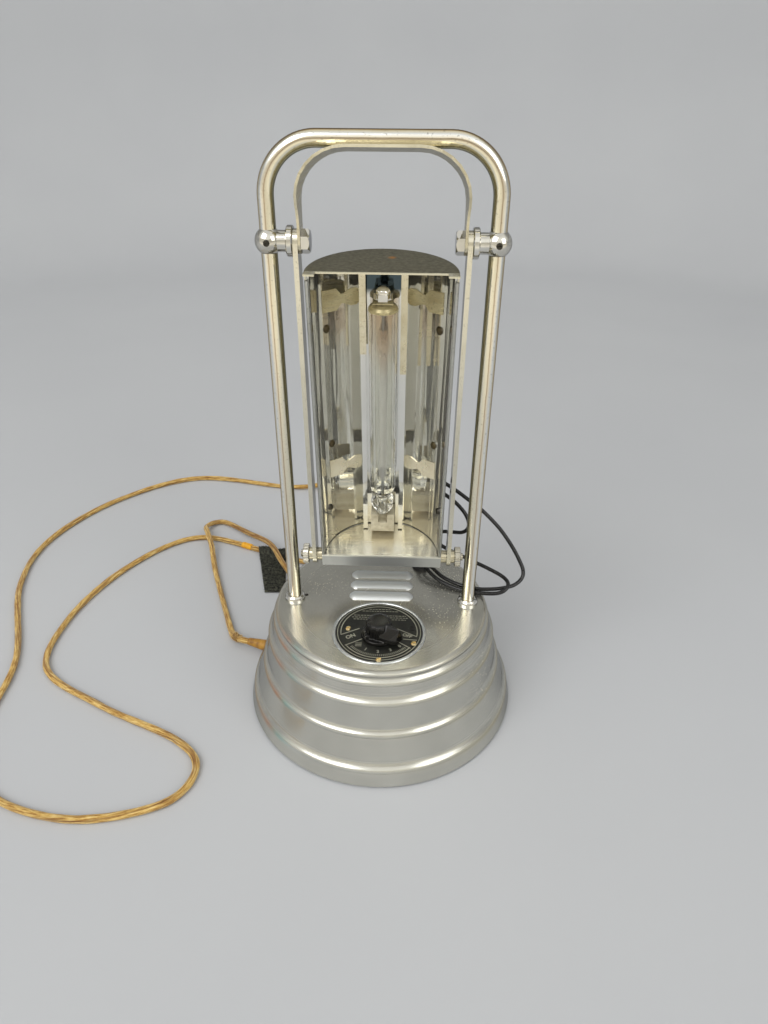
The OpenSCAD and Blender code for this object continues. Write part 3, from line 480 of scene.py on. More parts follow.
@as_material
def weathered_cap(add):
    """Nickelled sheet brushed from side to side, long since dulled to olive grey by heat,
    freckled, with one rust spot and a front edge that cloths keep bright."""
    place = head_place(add)
    _, front, up = add("SeparateXYZ", {0: place}).outputs
    # Inside the reflector the plate was never weathered: its underside is still pale
    inside = add("MapRange", {0: up, 1: 0.233, 2: 0.2333, 3: 1.0, 4: 0.0})
    edge = add("MapRange", {0: front, 1: -0.0093, 2: -0.0087, 3: 1.0, 4: 0.0})
    lines = stretched(add, place, (220, 1500, 1500), 3.0)
    cloud = add("TexNoise", {"Vector": place, "Scale": 420.0, "Detail": 6.0})
    mottle = add("Math", {0: lines, 1: cloud}, operation="ADD")
    shade = add("MapRange", {0: mottle, 1: 0.72, 2: 1.3})
    tone = add("Mix", {0: shade, 6: "#56523f", 7: "#7f7b68"})
    gap = add("VectorMath", {0: place, 1: (0.0057, 0.0209, 0.2341)}, operation="DISTANCE")
    rust = add("MapRange", {0: gap, 1: 0.0004, 2: 0.0034, 3: 0.75, 4: 0.0})
    rusty = add("Mix", {0: rust, 6: tone, 7: "#c8862f"})
    colour = add("Mix", {0: edge, 6: rusty, 7: "#d2cdb6"})
    colour = add("Mix", {0: inside, 6: colour, 7: "#efe7cc"})
    rough = add("MapRange", {0: edge, 3: 0.5, 4: 0.2})
    relief = add("Bump", {"Strength": 0.8, "Distance": 0.00008, "Height": mottle})
    return {"Base Color": colour, "Metallic": 0.75, "Roughness": rough, "Normal": relief}


@as_material
def plated_floor(add):
    """Nickelled sheet, heat-yellowed inside the reflector, greyer and satin on the lip that
    is folded down at the front, with a rubbed bright fold."""
    place = head_place(add)
    _, front, up = add("SeparateXYZ", {0: place}).outputs
    lip = add("MapRange", {0: front, 1: -0.0082, 2: -0.0078, 3: 1.0, 4: 0.0})
    fold = add("MapRange", {0: up, 1: 0.0046, 2: 0.0056})
    lines = stretched(add, place, (30, 500, 500), 3.0)
    cloud = add("TexNoise", {"Vector": place, "Scale": 60.0, "Detail": 5.0})
    warm = add("Mix", {0: cloud, 6: "#f3ecd6", 7: "#ddd3b4"})
    # Wiped whiter where a hand reaches, just behind the lip
    wiped = add("MapRange", {0: front, 1: 0.002, 2: 0.012, 3: 0.8, 4: 0.0})
    warm = add("Mix", {0: wiped, 6: warm, 7: "#eceadf"})
    cool = add("Mix", {0: fold, 6: "#b2b4b3", 7: "#f0eee4"})
    colour = add("Mix", {0: lip, 6: warm, 7: cool})
    satin = add("MapRange", {0: lines, 1: 0.3, 2: 0.7, 3: 0.16, 4: 0.28})
    rough = add("Math", {0: lip, 1: 0.16, 2: satin}, operation="MULTIPLY_ADD")
    relief = add("Bump", {"Distance": 0.00006, "Height": cloud})
    return {"Base Color": colour, "Metallic": 0.75, "Roughness": rough, "Normal": relief}


@as_material
def laminated_iron(add):
    """Stacked transformer stampings under clear varnish: dark edges in fine stripes. Real
    sheets are 0.5 mm thick, drawn 1.5 mm thick so that they show."""
    place = add("TexCoord").outputs["Object"]
    sheets = add("TexWave", {"Vector": place, "Scale": 105.0, "Distortion": 0.3},
        bands_direction="Y")
    cloud = add("TexNoise", {"Vector": place, "Scale": 120.0, "Detail": 4.0})
    tone = add("Mix", {0: sheets.outputs[1], 6: "#2b2a28", 7: "#5d5a55"})
    rough = add("MapRange", {0: cloud, 3: 0.35, 4: 0.55})
    relief = add("Bump", {"Distance": 0.0002, "Height": sheets.outputs[1]})
    return {"Base Color": tone, "Metallic": 0.8, "Roughness": rough, "Normal": relief,
        "Coat Weight": 0.2}


# Chromium plate on turned brass: the brightest and coolest metal on the lamp
chrome_plate = worn_metal("chromium_plate", "#e6e4dd", "#9c937c", 0.03, 0.08, (90, 90, 90),
                          stained=0.8, wave=0.12)
# Plated steel strip, rolled and brushed lengthwise: cream, with soft upright reflections
strip_metal = worn_metal("brushed_plated_strip", "#e6e1cf", "#bdb49a", 0.14, 0.24,
                         (700, 700, 12), stained=0.6, specks=0.3)
# The same strip bent into the bail, worn a little duller
bail_metal = worn_metal("plated_bail_strip", "#ddd5bb", "#a39a7c", 0.17, 0.26,
                        (260, 260, 60), stained=0.8, specks=0.3, metallic=0.85)
# Rolled aluminium sheet on the outside of the head: satin, with upright rolling lines
shell_sheet = worn_metal("rolled_satin_aluminium", "#bdbdb7", "#95938a", 0.24, 0.36,
                         (420, 420, 16), stained=0.8, specks=0.4)
# Thin plated brackets near the burner, browned by its heat
browned_sheet = worn_metal("heat_browned_plate", "#bdb28a", "#74633a", 0.22, 0.36,
                           (60, 60, 240), stained=1.3, specks=0.5, wave=0.15, metallic=0.45)
# The lower brackets and the strips, away from the heat, stay cream
cream_sheet = worn_metal("nickelled_cream_sheet", "#efe6ca", "#c2b48c", 0.18, 0.3,
                         (80, 80, 80), stained=1.0, specks=0.4, wave=0.1, metallic=0.75)
# Turned brass with worn gilt lacquer, pinkish where the lacquer has gone
turned_brass = worn_metal("lacquered_brass", "#efdcae", "#a88a55", 0.16, 0.3,
                          (300, 300, 300), stained=0.9)
# Copper rivets oxidised brown
oxidised_copper = worn_metal("oxidised_copper", "#5a5038", "#2a2214", 0.3, 0.45,
                             (300, 300, 300), stained=1.2, metallic=0.5)
# Steel screws blackened in oil
blackened_steel = worn_metal("oil_blackened_steel", "#55524b", "#2a2824", 0.3, 0.45,
                             (300, 300, 300), stained=1.0)
# Zinc-plated steel out of sight: even, grey, slightly spangled
zinc_plate = worn_metal("zinc_plated_steel", "#a4a6a6", "#7d8080", 0.32, 0.44,
                        (150, 150, 150), stained=1.2)
# Nickel thumb nuts and studs handled often: warm and satin
handled_nickel = worn_metal("handled_nickel", "#dbd7ca", "#9c9580", 0.14, 0.24,
                            (200, 200, 200), stained=0.9, specks=0.3)

spun = spun_aluminium("spun_aluminium")
tube_metal = nickel_tube("buffed_nickel_tube")
liner_metal = mirror_liner("bright_dipped_aluminium")
cap_metal = weathered_cap("weathered_brushed_cap")
floor_metal = plated_floor("heat_yellowed_plate")
core_metal = laminated_iron("laminated_iron")


# Plastics, rubber, ceramic and glass

@as_material
def moulded(add, colour, light, smoothest, roughest, scale, relief_mm, coat=0.0, ior=1.5):
    """A moulded, fired or dipped stuff, cloudy between two tones. scale is clouds per metre."""
    place = add("TexCoord").outputs["Object"]
    cloud = add("TexNoise", {"Vector": place, "Scale": scale, "Detail": 6.0})
    fine = add("TexNoise", {"Vector": place, "Scale": scale * 9})
    shade = add("MapRange", {0: cloud, 1: 0.35, 2: 0.68})
    tone = add("Mix", {0: shade, 6: colour, 7: light})
    rough = add("MapRange", {0: fine, 1: 0.3, 2: 0.7, 3: smoothest, 4: roughest})
    relief = add("Bump", {"Distance": relief_mm * MM, "Height": fine})
    return {"Base Color": tone, "Roughness": rough, "Normal": relief, "Coat Weight": coat,
        "IOR": ior}


# Phenolic moulding powder pressed hot: deep glossy black with a faint brown cloud
phenolic = moulded("moulded_phenolic", "#060605", "#0e0c0a", 0.04, 0.09, 120.0, 0.008)
# Vitreous enamel on the dial: black, slightly orange-peeled, dusty in the hollows
enamel = moulded("black_dial_enamel", "#0b0c0a", "#20211d", 0.3, 0.5, 300.0, 0.03)
# Vulcanised rubber lead, wiped shiny
lead_rubber = moulded("vulcanised_lead_rubber", "#0b0b0c", "#18181a", 0.16, 0.3, 90.0, 0.03)
# Hard black rubber of feet, bush and gland: matt
hard_rubber = moulded("hard_black_rubber", "#1a1a1b", "#2b2a2a", 0.45, 0.65, 150.0, 0.05)
# Natural rubber gone amber and slightly crazed with age
aged_rubber = moulded("aged_amber_rubber", "#8c6022", "#b98a36", 0.35, 0.55, 260.0, 0.08)
# Unglazed steatite: creamy, dry, a little sooty
steatite = moulded("fired_steatite", "#a9a087", "#cdc6af", 0.4, 0.6, 160.0, 0.05)
# Coil varnished brown over its paper
coil_varnish = moulded("varnished_coil_paper", "#5d3415", "#8b5728", 0.22, 0.4, 80.0, 0.1,
                       coat=0.3)
# Cotton tape soaked in yellow lacquer
lacquered_tape = moulded("yellow_lacquered_tape", "#e09a06", "#f6bc2c", 0.35, 0.6, 420.0,
                         0.08, coat=0.2)
# Waxed thread of the whipping, brown with handling
waxed_thread = moulded("waxed_brown_thread", "#6b4a20", "#b48f50", 0.5, 0.7, 500.0, 0.05)
# Bare linen fibres where the braid is open
linen = moulded("linen_thread", "#c9a56a", "#ecd6a0", 0.7, 0.9, 900.0, 0.05)
# Nylon loops and the woven tape under them: black with grey dust in it
loop_pile = moulded("black_loop_pile", "#0b0b0a", "#5a5b4e", 0.7, 0.95, 380.0, 0.3)


@as_material
def fused_quartz(add, warmth, body):
    """Blown and pinched fused quartz: clear, thin, faintly lined lengthwise, tinted amber
    near its hot top where metal has evaporated on to it."""
    place = head_place(add)
    up = add("SeparateXYZ", {0: place}).outputs[2]
    hot = add("MapRange", {0: up, 1: 0.15, 2: 0.2, 4: warmth})
    tone = add("Mix", {0: hot, 6: "#fbfbf7", 7: "#e2b878"})
    lines = stretched(add, place, (260, 260, 22))
    relief = add("Bump", {"Strength": 0.6, "Distance": 0.00018, "Height": lines})
    return {"Base Color": tone, "Roughness": 0.02, "IOR": 1.46,
        "Transmission Weight": 1.0 if body == 1.0 else 0.0, "Alpha": body, "Normal": relief}


quartz = fused_quartz("fused_quartz_jacket", 0.3, 1.0)
# The inner tube is thin: it is let mostly through, so that light still reaches behind it
arc_quartz = fused_quartz("fused_quartz_arc_tube", 0.8, 0.3)


@as_material
def cotton_flex(add):
    """Braided cotton flex, rubbed threadbare: straw-coloured fibres run along it, with
    orange-brown stains and darker seams. The UV map holds mm along it and the turn round it."""
    run, turn, _ = add("SeparateXYZ", {0: add("UVMap", uv_map="run")}).outputs
    wound = add("Math", {0: run, 1: TWIST})
    angle = add("Math", {0: turn, 1: 2 * math.pi, 2: wound}, operation="MULTIPLY_ADD")
    c = add("Math", {0: angle}, operation="COSINE")
    s = add("Math", {0: angle}, operation="SINE")
    skin = add("CombineXYZ", {0: run, 1: c, 2: s})
    fibres = stretched(add, skin, (0.11, 2.6, 2.6), 6.0, 0.65)
    stains = stretched(add, skin, (0.035, 0.9, 0.9), 4.0)
    straw = add("ValToRGB", {0: fibres})
    stops(straw, [(0.28, "#5f3d14"), (0.38, "#9c7030"), (0.48, "#c49c50"),
                  (0.6, "#dcbd74"), (0.75, "#efdca4")])
    dirt = add("MapRange", {0: stains, 1: 0.5, 2: 0.7, 4: 0.65})
    # The first hand's breadth and the fold behind it have been handled dark
    fold = add("MapRange", {0: run, 1: 230.0, 2: 330.0})
    fold_end = add("MapRange", {0: run, 1: 400.0, 2: 520.0, 3: 1.0, 4: 0.0})
    dark = add("Math", {0: fold, 1: fold_end})
    dark = add("Math", {0: dark, 1: 0.4, 2: dirt}, operation="MULTIPLY_ADD")
    # Darker in the two grooves between the cores
    groove = add("Math", {0: c}, operation="ABSOLUTE")
    groove = add("MapRange", {0: groove, 2: 0.3, 3: 0.75, 4: 0.0})
    dark = add("Math", {0: dark, 1: groove}, operation="ADD", use_clamp=True)
    colour = add("Mix", {0: dark, 6: straw, 7: "#74491a"})
    relief = add("Bump", {"Distance": 0.0006, "Height": fibres})
    rough = add("MapRange", {0: fibres, 3: 0.95, 4: 0.7})
    return {"Base Color": colour, "Roughness": rough, "Normal": relief, "Sheen Weight": 0.25,
        "Sheen Roughness": 0.5}


flex = cotton_flex("threadbare_cotton_flex")

FINISH = {
    spun: ["base_shell"],
    tube_metal: ["loop_tube"],
    chrome_plate: ["foot_collars", "ball_clamp_left", "ball_clamp_right", "pivot_bolts",
                   "acorn_nut"],
    strip_metal: ["arm_left", "arm_right"],
    bail_metal: ["top_strap", "arm_washers", "inner_bushes"],
    handled_nickel: ["thumb_nut_left", "thumb_nut_right", "pivot_studs"],
    cap_metal: ["head_cap"],
    shell_sheet: ["head_shell"],
    liner_metal: ["reflector_left", "reflector_right", "rear_channel"],
    floor_metal: ["bottom_plate"],
    cream_sheet: ["hanger_strips", "lower_brackets"],
    browned_sheet: ["upper_brackets", "burner_hanger", "burner_collar"],
    turned_brass: ["dial_screws", "switch_nut", "switch_spindle", "plug_pins"],
    oxidised_copper: ["reflector_rivets"],
    blackened_steel: ["clamp_set_screws", "liner_screws"],
    core_metal: ["transformer_core"],
    zinc_plate: ["base_plate", "base_plate_screws", "transformer_bracket",
                 "transformer_screws", "tube_lock_nuts", "upper_electrode",
                 "lower_electrode"],
    phenolic: ["switch_knob", "switch_body", "terminal_strip", "plug_body"],
    enamel: ["dial_plate"],
    hard_rubber: ["rubber_feet", "lead_bush", "cord_gland"],
    lead_rubber: ["lead_a", "lead_b"],
    aged_rubber: ["strain_relief"],
    steatite: ["burner_block", "lead_terminals"],
    coil_varnish: ["transformer_winding"],
    flex: ["mains_cord"],
    lacquered_tape: ["cord_marker"],
    loop_pile: ["cord_strap"],
    quartz: ["quartz_envelope"],
    arc_quartz: ["arc_tube"],
}
for finish, names in FINISH.items():
    for name in names:
        dress(NODES[name], finish)


# Trees of Geometry Nodes for what repeats

def new_tree(name, **inputs):
    """A geometry tree. inputs gives the names of the inputs of each type of socket."""
    tree = bpy.data.node_groups.new(name, "GeometryNodeTree")
    for in_out in ("INPUT", "OUTPUT"):
        tree.interface.new_socket("Geometry", in_out=in_out, socket_type="NodeSocketGeometry")
    for kind, labels in inputs.items():
        for label in labels.split():
            tree.interface.new_socket(label, in_out="INPUT", socket_type="NodeSocket" + kind)
    add = adder(tree)
    return tree, add, add("NodeGroupInput").outputs


def run_tree(name, host, tree, values):
    """Runs a tree on a host object and gives the result as a plain mesh object."""
    modifier = host.modifiers.new(tree.name, "NODES")
    modifier.node_group = tree
    for item in tree.interface.items_tree:
        if item.in_out == "INPUT" and item.name in values:
            modifier[item.identifier] = values[item.name]
    return plain_mesh(name, host)


def fringe_tree():
    """Short leaning hairs scattered over a surface."""
    tree, add, given = new_tree("fringe", Float="Density Length Thickness Lean", Int="Seed",
                                Material="Material")
    roots = add("GeometryNodeDistributePointsOnFaces",
        {"Mesh": given["Geometry"], "Density": given["Density"], "Seed": given["Seed"]})
    half = add("Math", {0: given["Thickness"], 1: 0.5})
    hair = add("GeometryNodeMeshCone",
        {"Vertices": 4, "Side Segments": 1, "Radius Top": 0.00003, "Radius Bottom": half,
        "Depth": given["Length"]})
    back = add("Math", {0: given["Lean"], 1: -1.0})
    low = add("CombineXYZ", {0: back, 1: back, 2: -3.1})
    high = add("CombineXYZ", {0: given["Lean"], 1: given["Lean"], 2: 3.1})
    tilt = add("FunctionNodeRandomValue", {0: low, 1: high, "Seed": given["Seed"]},
        data_type="FLOAT_VECTOR")
    turned_hair = add("FunctionNodeRotateRotation",
        {"Rotation": roots.outputs["Rotation"], "Rotate By": tilt}, rotation_space="LOCAL")
    hairs = add("GeometryNodeInstanceOnPoints",
        {"Points": roots, "Instance": hair, "Rotation": turned_hair})
    real = add("GeometryNodeRealizeInstances", {0: hairs})
    dressed = add("GeometryNodeSetMaterial", {"Geometry": real, "Material": given["Material"]})
    add("NodeGroupOutput", {0: dressed})
    return tree


def tick_tree():
    """Equal radial ticks along an arc of a circle."""
    tree, add, given = new_tree("ticks", Float="Radius Start Sweep Length Width Height",
                                Int="Count", Vector="Place", Material="Material")
    arc = add("GeometryNodeCurveArc",
        {"Radius": given["Radius"], "Start Angle": given["Start"], "Sweep Angle": given["Sweep"]})
    dots = add("GeometryNodeCurveToPoints", {"Curve": arc, "Count": given["Count"]}, mode="COUNT")
    size = add("CombineXYZ", {0: given["Length"], 1: given["Width"], 2: given["Height"]})
    tick = add("GeometryNodeMeshCube", {"Size": size})
    spot = add("GeometryNodeInputPosition")
    aim = add("FunctionNodeAlignRotationToVector", {"Vector": spot}, axis="X", pivot_axis="Z")
    ticks = add("GeometryNodeInstanceOnPoints",
        {"Points": dots, "Instance": tick, "Rotation": aim})
    placed = add("GeometryNodeTransform", {"Geometry": ticks, "Translation": given["Place"]})
    real = add("GeometryNodeRealizeInstances", {0: placed})
    dressed = add("GeometryNodeSetMaterial", {"Geometry": real, "Material": given["Material"]})
    add("NodeGroupOutput", {0: dressed})
    return tree


fringe = fringe_tree()
ticks = tick_tree()


# The mains cord

def cord_radius(run, angle):
    """An old two-core flex: slightly oval, slowly twisting, lumpy where the braid has slipped."""
    wound = angle + run * TWIST
    ridges = 0.16 * math.cos(2 * wound) + 0.07 * math.cos(5 * wound + 1.1 * math.sin(run / 31))
    lumps = 0.1 * math.sin(run / 13.7) * math.sin(run / 5.3 + 2) + 0.06 * math.sin(run / 3.1)
    return CORD_R - 0.12 + ridges + lumps


cord_path = even_path(smooth_path(cord_points, 24, CORD_Z), 1.25)
cord_run = runs_along(cord_path)
mains = tube("mains_flex", cord_path, cord_radius, 20, flex)


def stretch_of_cord(start, end, lift=0.0):
    """The part of the cord's line between two distances, in mm."""
    return [q + Vector((0, 0, lift)) for q, d in zip(cord_path, cord_run) if start <= d <= end]


# The braid's end is bound with thread just outside the strain relief
bound = stretch_of_cord(10.5, 21)
bound_run = runs_along(bound)
bound_frames = frames_along(bound)
WINDS, STEPS, THREAD_R, WINDING_R = 9, 16, 0.42, 3.3
thread_path = []
for i in range(WINDS * STEPS + 1):
    want = bound_run[-1] * i / (WINDS * STEPS)
    k = min(range(len(bound_run)), key=lambda n: abs(bound_run[n] - want))
    k = min(k, len(bound) - 2)
    q = bound[k].lerp(bound[k + 1], (want - bound_run[k]) / (bound_run[k + 1] - bound_run[k]))
    angle = 2 * math.pi * i / STEPS
    t, u, w = bound_frames[k]
    thread_path.append(q + WINDING_R * (math.cos(angle) * u + math.sin(angle) * w))
whipping = tube("thread_whipping", thread_path, THREAD_R, 8, waxed_thread)

# Loose fibres stand up where the braid has worn through
worn_part = tube("worn_part", stretch_of_cord(8, 26), CORD_R - 0.1, 12, flex)
frays = run_tree("loose_fibres", worn_part, fringe, {
    "Density": 900000.0, "Length": 0.0026, "Thickness": 0.00022, "Lean": 1.2, "Seed": 7,
    "Material": linen})

# The marker is a band of tape wrapped twice round the flex
near_marker = min(range(len(cord_path)),
                  key=lambda n: (cord_path[n] - Vector((-163, 206.2, CORD_Z))).length)
marker_run = cord_run[near_marker]
MARKER_R, MARKER_HALF, MARKER_LIFT = 3.38, 6.5, 0.55


def marker_radius(run, angle):
    """Two layers, the outer one narrower and ending in a step."""
    step = 0.16 if math.cos(angle - 0.7) > -0.2 else 0.0
    pinch = 0.12 * math.cos(2 * angle + 0.6)
    return MARKER_R + (step if 1.5 < run < 11.5 else 0.0) + pinch + 0.05 * math.sin(run * 1.9)


marker_path = stretch_of_cord(marker_run - MARKER_HALF, marker_run + MARKER_HALF, MARKER_LIFT)
marker = tube("marker_tape", even_path(marker_path, 0.5), marker_radius, 32, lacquered_tape)


# The hook-and-loop strap lies over the lower strand of the cord

STRAP = [(-148, 199), (-118, 207), (-106, 125), (-128, 124)]
STRAND_POINT, STRAND_ANGLE = (-130, 192.7), math.radians(-23.2)
# Heights in mm: half the thickness, the middle layer on the floor, and its rise over the cord
STRAP_HALF, STRAP_FLOOR, STRAP_RISE = 0.55, 1.15, 6.6


def strap_height(x, y):
    """The height of the strap's middle layer: flat on the floor, arched over the cord."""
    dx, dy = x - STRAND_POINT[0], y - STRAND_POINT[1]
    away = abs(dx * math.sin(STRAND_ANGLE) - dy * math.cos(STRAND_ANGLE))
    t = min(max((away - 2.4) / 6.4, 0), 1)
    rise = 1 - t * t * (3 - 2 * t)
    wave = 0.35 * math.sin(x / 7.0 + y / 11.0) + 0.25 * math.sin(y / 5.1 - x / 9.0)
    return STRAP_FLOOR + STRAP_RISE * rise + wave * (1 - rise)


wide, long = 24, 60
verts, faces = [], []
for layer in (STRAP_HALF, -STRAP_HALF):
    for j in range(long + 1):
        for i in range(wide + 1):
            s, t = i / wide, j / long
            top = Vector(STRAP[0]).lerp(Vector(STRAP[1]), s)
            low = Vector(STRAP[3]).lerp(Vector(STRAP[2]), s)
            q = top.lerp(low, t)
            rounded = 0.5 if i in (0, wide) or j in (0, long) else 1.0
            verts.append(Vector((q.x, q.y, strap_height(q.x, q.y) + layer * rounded)) * MM)
across = wide + 1
sheet = across * (long + 1)
for j in range(long):
    for i in range(wide):
        a = j * across + i
        faces.append((a, a + 1, a + across + 1, a + across))
        faces.append((sheet + a, sheet + a + across, sheet + a + across + 1, sheet + a + 1))
rim = (list(range(across)) + [j * across + wide for j in range(1, long + 1)]
       + [long * across + i for i in range(wide - 1, -1, -1)]
       + [j * across for j in range(long - 1, 0, -1)])
for a, b in zip(rim, rim[1:] + rim[:1]):
    faces.append((a, sheet + a, sheet + b, b))
strap = new_object("strap_tape", verts, faces, loop_pile)
turn_outwards(strap)
upper_side = new_object("upper_side", verts[:sheet],
                        [face[::-1] for face in faces[:2 * wide * long:2]], loop_pile)
pile = run_tree("strap_loops", upper_side, fringe, {
    "Density": 1100000.0, "Length": 0.0018, "Thickness": 0.0004, "Lean": 1.0, "Seed": 3,
    "Material": loop_pile})

for piece, slot in ((mains, "cotton_braid"), (whipping, "cotton_braid"),
                    (frays, "cotton_braid"), (marker, "marker_tape"),
                    (strap, "strap_fabric"), (pile, "strap_fabric")):
    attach(piece, "base")
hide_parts("mains_cord")
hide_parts("cord_marker")
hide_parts("cord_strap")


# The two high-voltage leads, each in two pieces, a run over the deck and a run up to the head.
# They meet at the outermost point of the route, which is its point number turn

for lead_name, points, turn in (("lead_a", lead_a_points, 11), ("lead_b", lead_b_points, 10)):
    path = smooth_path(points, 8)
    low, high = path[:turn * 8 + 1], path[turn * 8:]
    for part, run, bodies in ((low, "deck", ("base", "yoke")), (high, "head", ("yoke", "head"))):
        piece = tube(f"{lead_name}_{run}_run", part, LEAD_R, 18, lead_rubber)
        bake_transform(piece)
        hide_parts(lead_name)


DIAL, KNOB, DECK = (0, -41.2), (0, -46), 94.0
POINTER_TURN = -36


# The knob: a flange, a fluted hub and a roof-shaped pointer, melted together by their mould

def knob_shell(rings, verts, faces):
    """Adds a closed shell lofted through rings of points, in mm above the deck."""
    faces += shell_faces(len(rings), len(rings[0]), len(verts))
    a = math.radians(POINTER_TURN)
    for ring in rings:
        for x, y, z in ring:
            verts.append(Vector((KNOB[0] + x * math.cos(a) - y * math.sin(a),
                                 KNOB[1] + x * math.sin(a) + y * math.cos(a), DECK + z)) * MM)


def round_ring(r, z, flutes=0.0):
    """A ring of points about the knob's axis."""
    ring = []
    for k in range(96):
        a = 2 * math.pi * k / 96
        reach = r + flutes * math.cos(12 * a)
        ring.append((reach * math.cos(a), reach * math.sin(a), z))
    return ring


verts, faces = [], []
knob_shell([round_ring(13.6, 1.2), round_ring(14, 1.8), round_ring(13.4, 4.1)], verts, faces)
knob_shell([round_ring(9.9, 3.6, 0.55), round_ring(9.6, 13.6, 0.55), round_ring(8.9, 15.4, 0.4),
            round_ring(6.6, 16.5)], verts, faces)
roof = [(-8.2, 3.8), (-7.6, 7.5), (-1.6, 15.4), (0, 16.6), (1.6, 15.4), (7.6, 7.5), (8.2, 3.8)]
knob_shell([[(x, y * narrow, z) for y, z in roof]
            for x, narrow in ((-5, 1), (7, 1), (14, 0.85), (19.6, 0.5))], verts, faces)
melted = new_object("melted_knob", verts, faces, phenolic)
turn_outwards(melted)
remesh = melted.modifiers.new("remesh", "REMESH")
remesh.mode, remesh.voxel_size, remesh.use_smooth_shade = "VOXEL", 0.00035, True
soften = melted.modifiers.new("soften", "SMOOTH")
soften.factor, soften.iterations = 0.5, 4
knob = plain_mesh("moulded_knob", melted)
dress(knob, phenolic)
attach(knob, "knob")
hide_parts("switch_knob")


# Etched lines, numbers and the words OFF and ON on the dial, left bright by the enamel

etched = worn_metal("etched_bright_line", "#bdbcab", "#7d7c6e", 0.35, 0.5, (400, 400, 400),
                    stained=1.0, metallic=0.5)
etch_verts, etch_faces = [], []
# Heights above the deck, in mm, of the foot, the top and the middle of what is etched
ETCH_LOW, ETCH_TOP, ETCH_MID = 0.78, 0.93, 0.86


def etch_band(points, half_wide):
    """A thin raised line along points on the dial, in mm."""
    first = len(etch_verts)
    for i, p in enumerate(points):
        a, b = Vector(points[max(i - 1, 0)]), Vector(points[min(i + 1, len(points) - 1)])
        t = (b - a).normalized()
        n = Vector((-t.y, t.x)) * half_wide
        for side, z in ((1, ETCH_LOW), (1, ETCH_TOP), (-1, ETCH_TOP), (-1, ETCH_LOW)):
            etch_verts.append(Vector((p[0] + side * n.x, p[1] + side * n.y, DECK + z)) * MM)
    for i in range(len(points) - 1):
        for k in range(4):
            a, b = first + 4 * i + k, first + 4 * i + (k + 1) % 4
            etch_faces.append((a, b, b + 4, a + 4))
    last = first + 4 * (len(points) - 1)
    etch_faces.append((first, first + 3, first + 2, first + 1))
    etch_faces.append((last, last + 1, last + 2, last + 3))


def arc(centre, r, start, end, steps):
    """Points on an arc, angles in degrees."""
    out = []
    for i in range(steps + 1):
        a = math.radians(start + (end - start) * i / steps)
        out.append((centre[0] + r * math.cos(a), centre[1] + r * math.sin(a)))
    return out


for points, half_wide in (
        (arc(DIAL, 32.6, 0, 180, 60), 0.24), (arc(DIAL, 32.6, 180, 360, 60), 0.24),
        (arc(DIAL, 30, -10, 190, 70), 0.32), ([(-29.5, -46.4), (-15.6, -38.6)], 0.3),
        ([(29.6, -46.6), (14, -37.8)], 0.3), ([(-25.6, -58.6), (-12.5, -50.5)], 0.3),
        ([(24.6, -60), (15.5, -53.2)], 0.3), (arc(DIAL, 30, 216, 324, 50), 0.32),
        ([(29.6, -50.6), (19, -49.8)], 0.3)):
    etch_band(points, half_wide)
# Short dashes stand for the small print
for row, (y, wide_row) in enumerate(((-14.6, 9), (-17, 14.5), (-19.4, 18), (-22.4, 21),
                                     (-24.8, 22.4), (-27.2, 21))):
    x = -wide_row
    while x < wide_row:
        dash = 1.1 + 1.3 * abs(math.sin(3.7 * x + row))
        if row == 2 and abs(x) > 15:
            break
        etch_band([(x, y), (min(x + dash, wide_row), y)], 0.24)
        x += dash + 0.7
for y in (-55.6, -57.2, -58.8):
    etch_band([(-17.8, y), (-12.8, y)], 0.2)
lines = new_object("dial_lines", etch_verts, etch_faces, etched, smooth=False)
turn_outwards(lines)

dot = new_object("arc_seed", [(0, 0, 0)], [], etched)
tick_ring = run_tree("dial_ticks", dot, ticks, {
    "Radius": 0.0274, "Start": math.radians(222), "Sweep": math.radians(96), "Count": 33,
    "Length": 0.0021, "Width": 0.0004, "Height": 0.00016,
    "Place": (DIAL[0] * MM, DIAL[1] * MM, (DECK + ETCH_MID) * MM), "Material": etched})

words = []
for body, place, size, turned_by in (
        ("OFF", (22.1, -45.8), 4.3, -20), ("ON", (-21.9, -48.2), 5.0, 28),
        ("1", (-9.5, -62.4), 3.8, -24), ("2", (0, -64.6), 3.8, 0),
        ("3", (9.5, -62.4), 3.8, 24), ("0", (16.4, -57.8), 3.8, 44)):
    curve = bpy.data.curves.new(f"word_{body}", "FONT")
    curve.body = body
    curve.size = size * MM
    curve.extrude = 0.00008
    curve.offset = 0.00012
    curve.align_x, curve.align_y = "CENTER", "CENTER"
    word = plain_mesh(f"dial_word_{body}", linked(f"word_{body}", curve))
    word.data.transform(Matrix.Translation((place[0] * MM, place[1] * MM, (DECK + ETCH_MID) * MM))
                        @ Matrix.Rotation(math.radians(turned_by), 4, "Z"))
    dress(word, etched)
    words.append(word)

for piece in [lines, tick_ring] + words:
    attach(piece, "base")


# The burner's foot, where the hot quartz was pinched shut: a clear lump full of folds

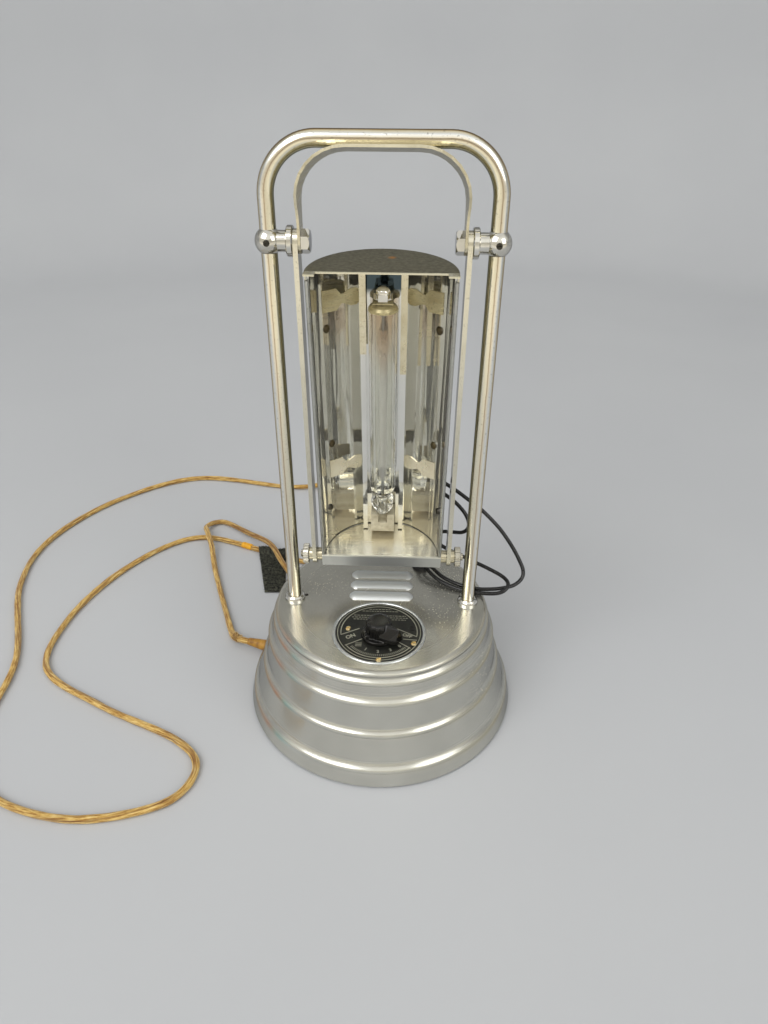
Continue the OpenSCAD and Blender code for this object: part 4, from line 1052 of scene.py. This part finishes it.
random.seed(11)
folds = [(random.uniform(2, 9), random.uniform(0.25, 0.9), random.uniform(0, 6.28),
          random.uniform(0.2, 0.55)) for _ in range(9)]
FOOT_Z, FOOT_TALL, FOOT_RINGS, FOOT_SIDES = 29.0, 25.0, 40, 48
verts = []
for j in range(FOOT_RINGS + 1):
    z = FOOT_Z + FOOT_TALL * j / FOOT_RINGS
    v = (z - FOOT_Z) / FOOT_TALL
    body = 8.6 * math.sin(math.pi * min(max(v, 0.02), 0.98)) ** 0.32
    for k in range(FOOT_SIDES):
        a = 2 * math.pi * k / FOOT_SIDES
        r = body + sum(h * math.sin(round(n) * a + z * f + p) * math.sin(math.pi * v)
                       for n, f, p, h in folds) * 0.62
        verts.append(Vector(in_head(r * math.cos(a), 20 + 0.8 * r * math.sin(a), z)) * MM)
faces = shell_faces(FOOT_RINGS + 1, FOOT_SIDES)
pinch = new_object("pinched_quartz_foot", verts, faces, quartz)
turn_outwards(pinch)
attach(pinch, "head")


# Floor and light: a seamless pale bowl, soft light from the front and from overhead

@as_material
def stage_paint(add):
    """Pale grey near the lamp, creamy in front."""
    place = add("TexCoord").outputs["Object"]
    y = add("SeparateXYZ", {0: place}).outputs[1]
    front = add("MapRange", {0: y, 1: -0.3, 2: -1.1}, interpolation_type="SMOOTHSTEP")
    grain = add("TexNoise", {"Vector": place, "Scale": 3.0})
    near = add("Mix", {0: grain, 6: "#b9bbbf", 7: "#c0c2c5"})
    tone = add("Mix", {0: front, 6: near, 7: "#f0ece2"})
    return {"Base Color": tone, "Roughness": 0.9}


def stage_bowl(around=96):
    """A pale floor that curves up into a wall all round."""
    profile = [(0.8, 0.0), (1.7, 0.0)]
    for i in range(1, 13):
        a = math.pi / 2 * i / 12
        profile.append((1.7 + 0.6 * math.sin(a), 0.6 - 0.6 * math.cos(a)))
    profile.append((2.3, 1.2))
    verts = [(0, 0, 0)]
    for r, z in profile:
        for k in range(around):
            a = 2 * math.pi * k / around
            verts.append((r * math.cos(a), r * math.sin(a), z))
    faces = [(0, 1 + k, 1 + (k + 1) % around) for k in range(around)]
    for j in range(len(profile) - 1):
        for k in range(around):
            a, b = 1 + j * around + k, 1 + j * around + (k + 1) % around
            faces.append((a, a + around, b + around, b))
    new_object("pale_stage", verts, faces, stage_paint("painted_pale_stage"))


stage_bowl()

world = bpy.data.worlds.new("studio")
scene.world = world
world.use_nodes = True
add = adder(world.node_tree)
direction = add("TexCoord").outputs["Generated"]
facing = add("VectorMath", {0: direction, 1: (0, -0.94, 0.34)}, operation="DOT_PRODUCT")
front = add("MapRange", {0: facing, 1: -0.1, 2: 0.7}, interpolation_type="SMOOTHSTEP")
up = add("SeparateXYZ", {0: direction}).outputs[2]
overhead = add("MapRange", {0: up, 1: 0.72, 2: 0.97}, interpolation_type="SMOOTHSTEP")
sides_tone = add("Mix", {0: front, 6: "#8d8d8a", 7: "#fbfaf5"})
sky = add("Mix", {0: overhead, 6: sides_tone, 7: "#d9d8d4"})
background = add("Background", {"Color": sky, "Strength": 1.12})
add("OutputWorld", {0: background})


def soft_box(name, place, target, size, power):
    """A soft rectangular light that shines at a point."""
    light = bpy.data.lights.new(name, "AREA")
    light.shape = "RECTANGLE"
    light.size, light.size_y = size
    light.energy = power
    obj = linked(name, light)
    obj.location = place
    obj.rotation_euler = (Vector(target) - Vector(place)).to_track_quat("-Z", "Y").to_euler()
    obj.visible_camera = False


soft_box("key", (-1.1, -1.3, 1.9), (0, 0, 0.15), (1.5, 1.5), 24)
soft_box("fill", (1.3, -1.2, 1.2), (0, 0, 0.2), (1.0, 1.2), 8)

scene.view_settings.view_transform = "Standard"
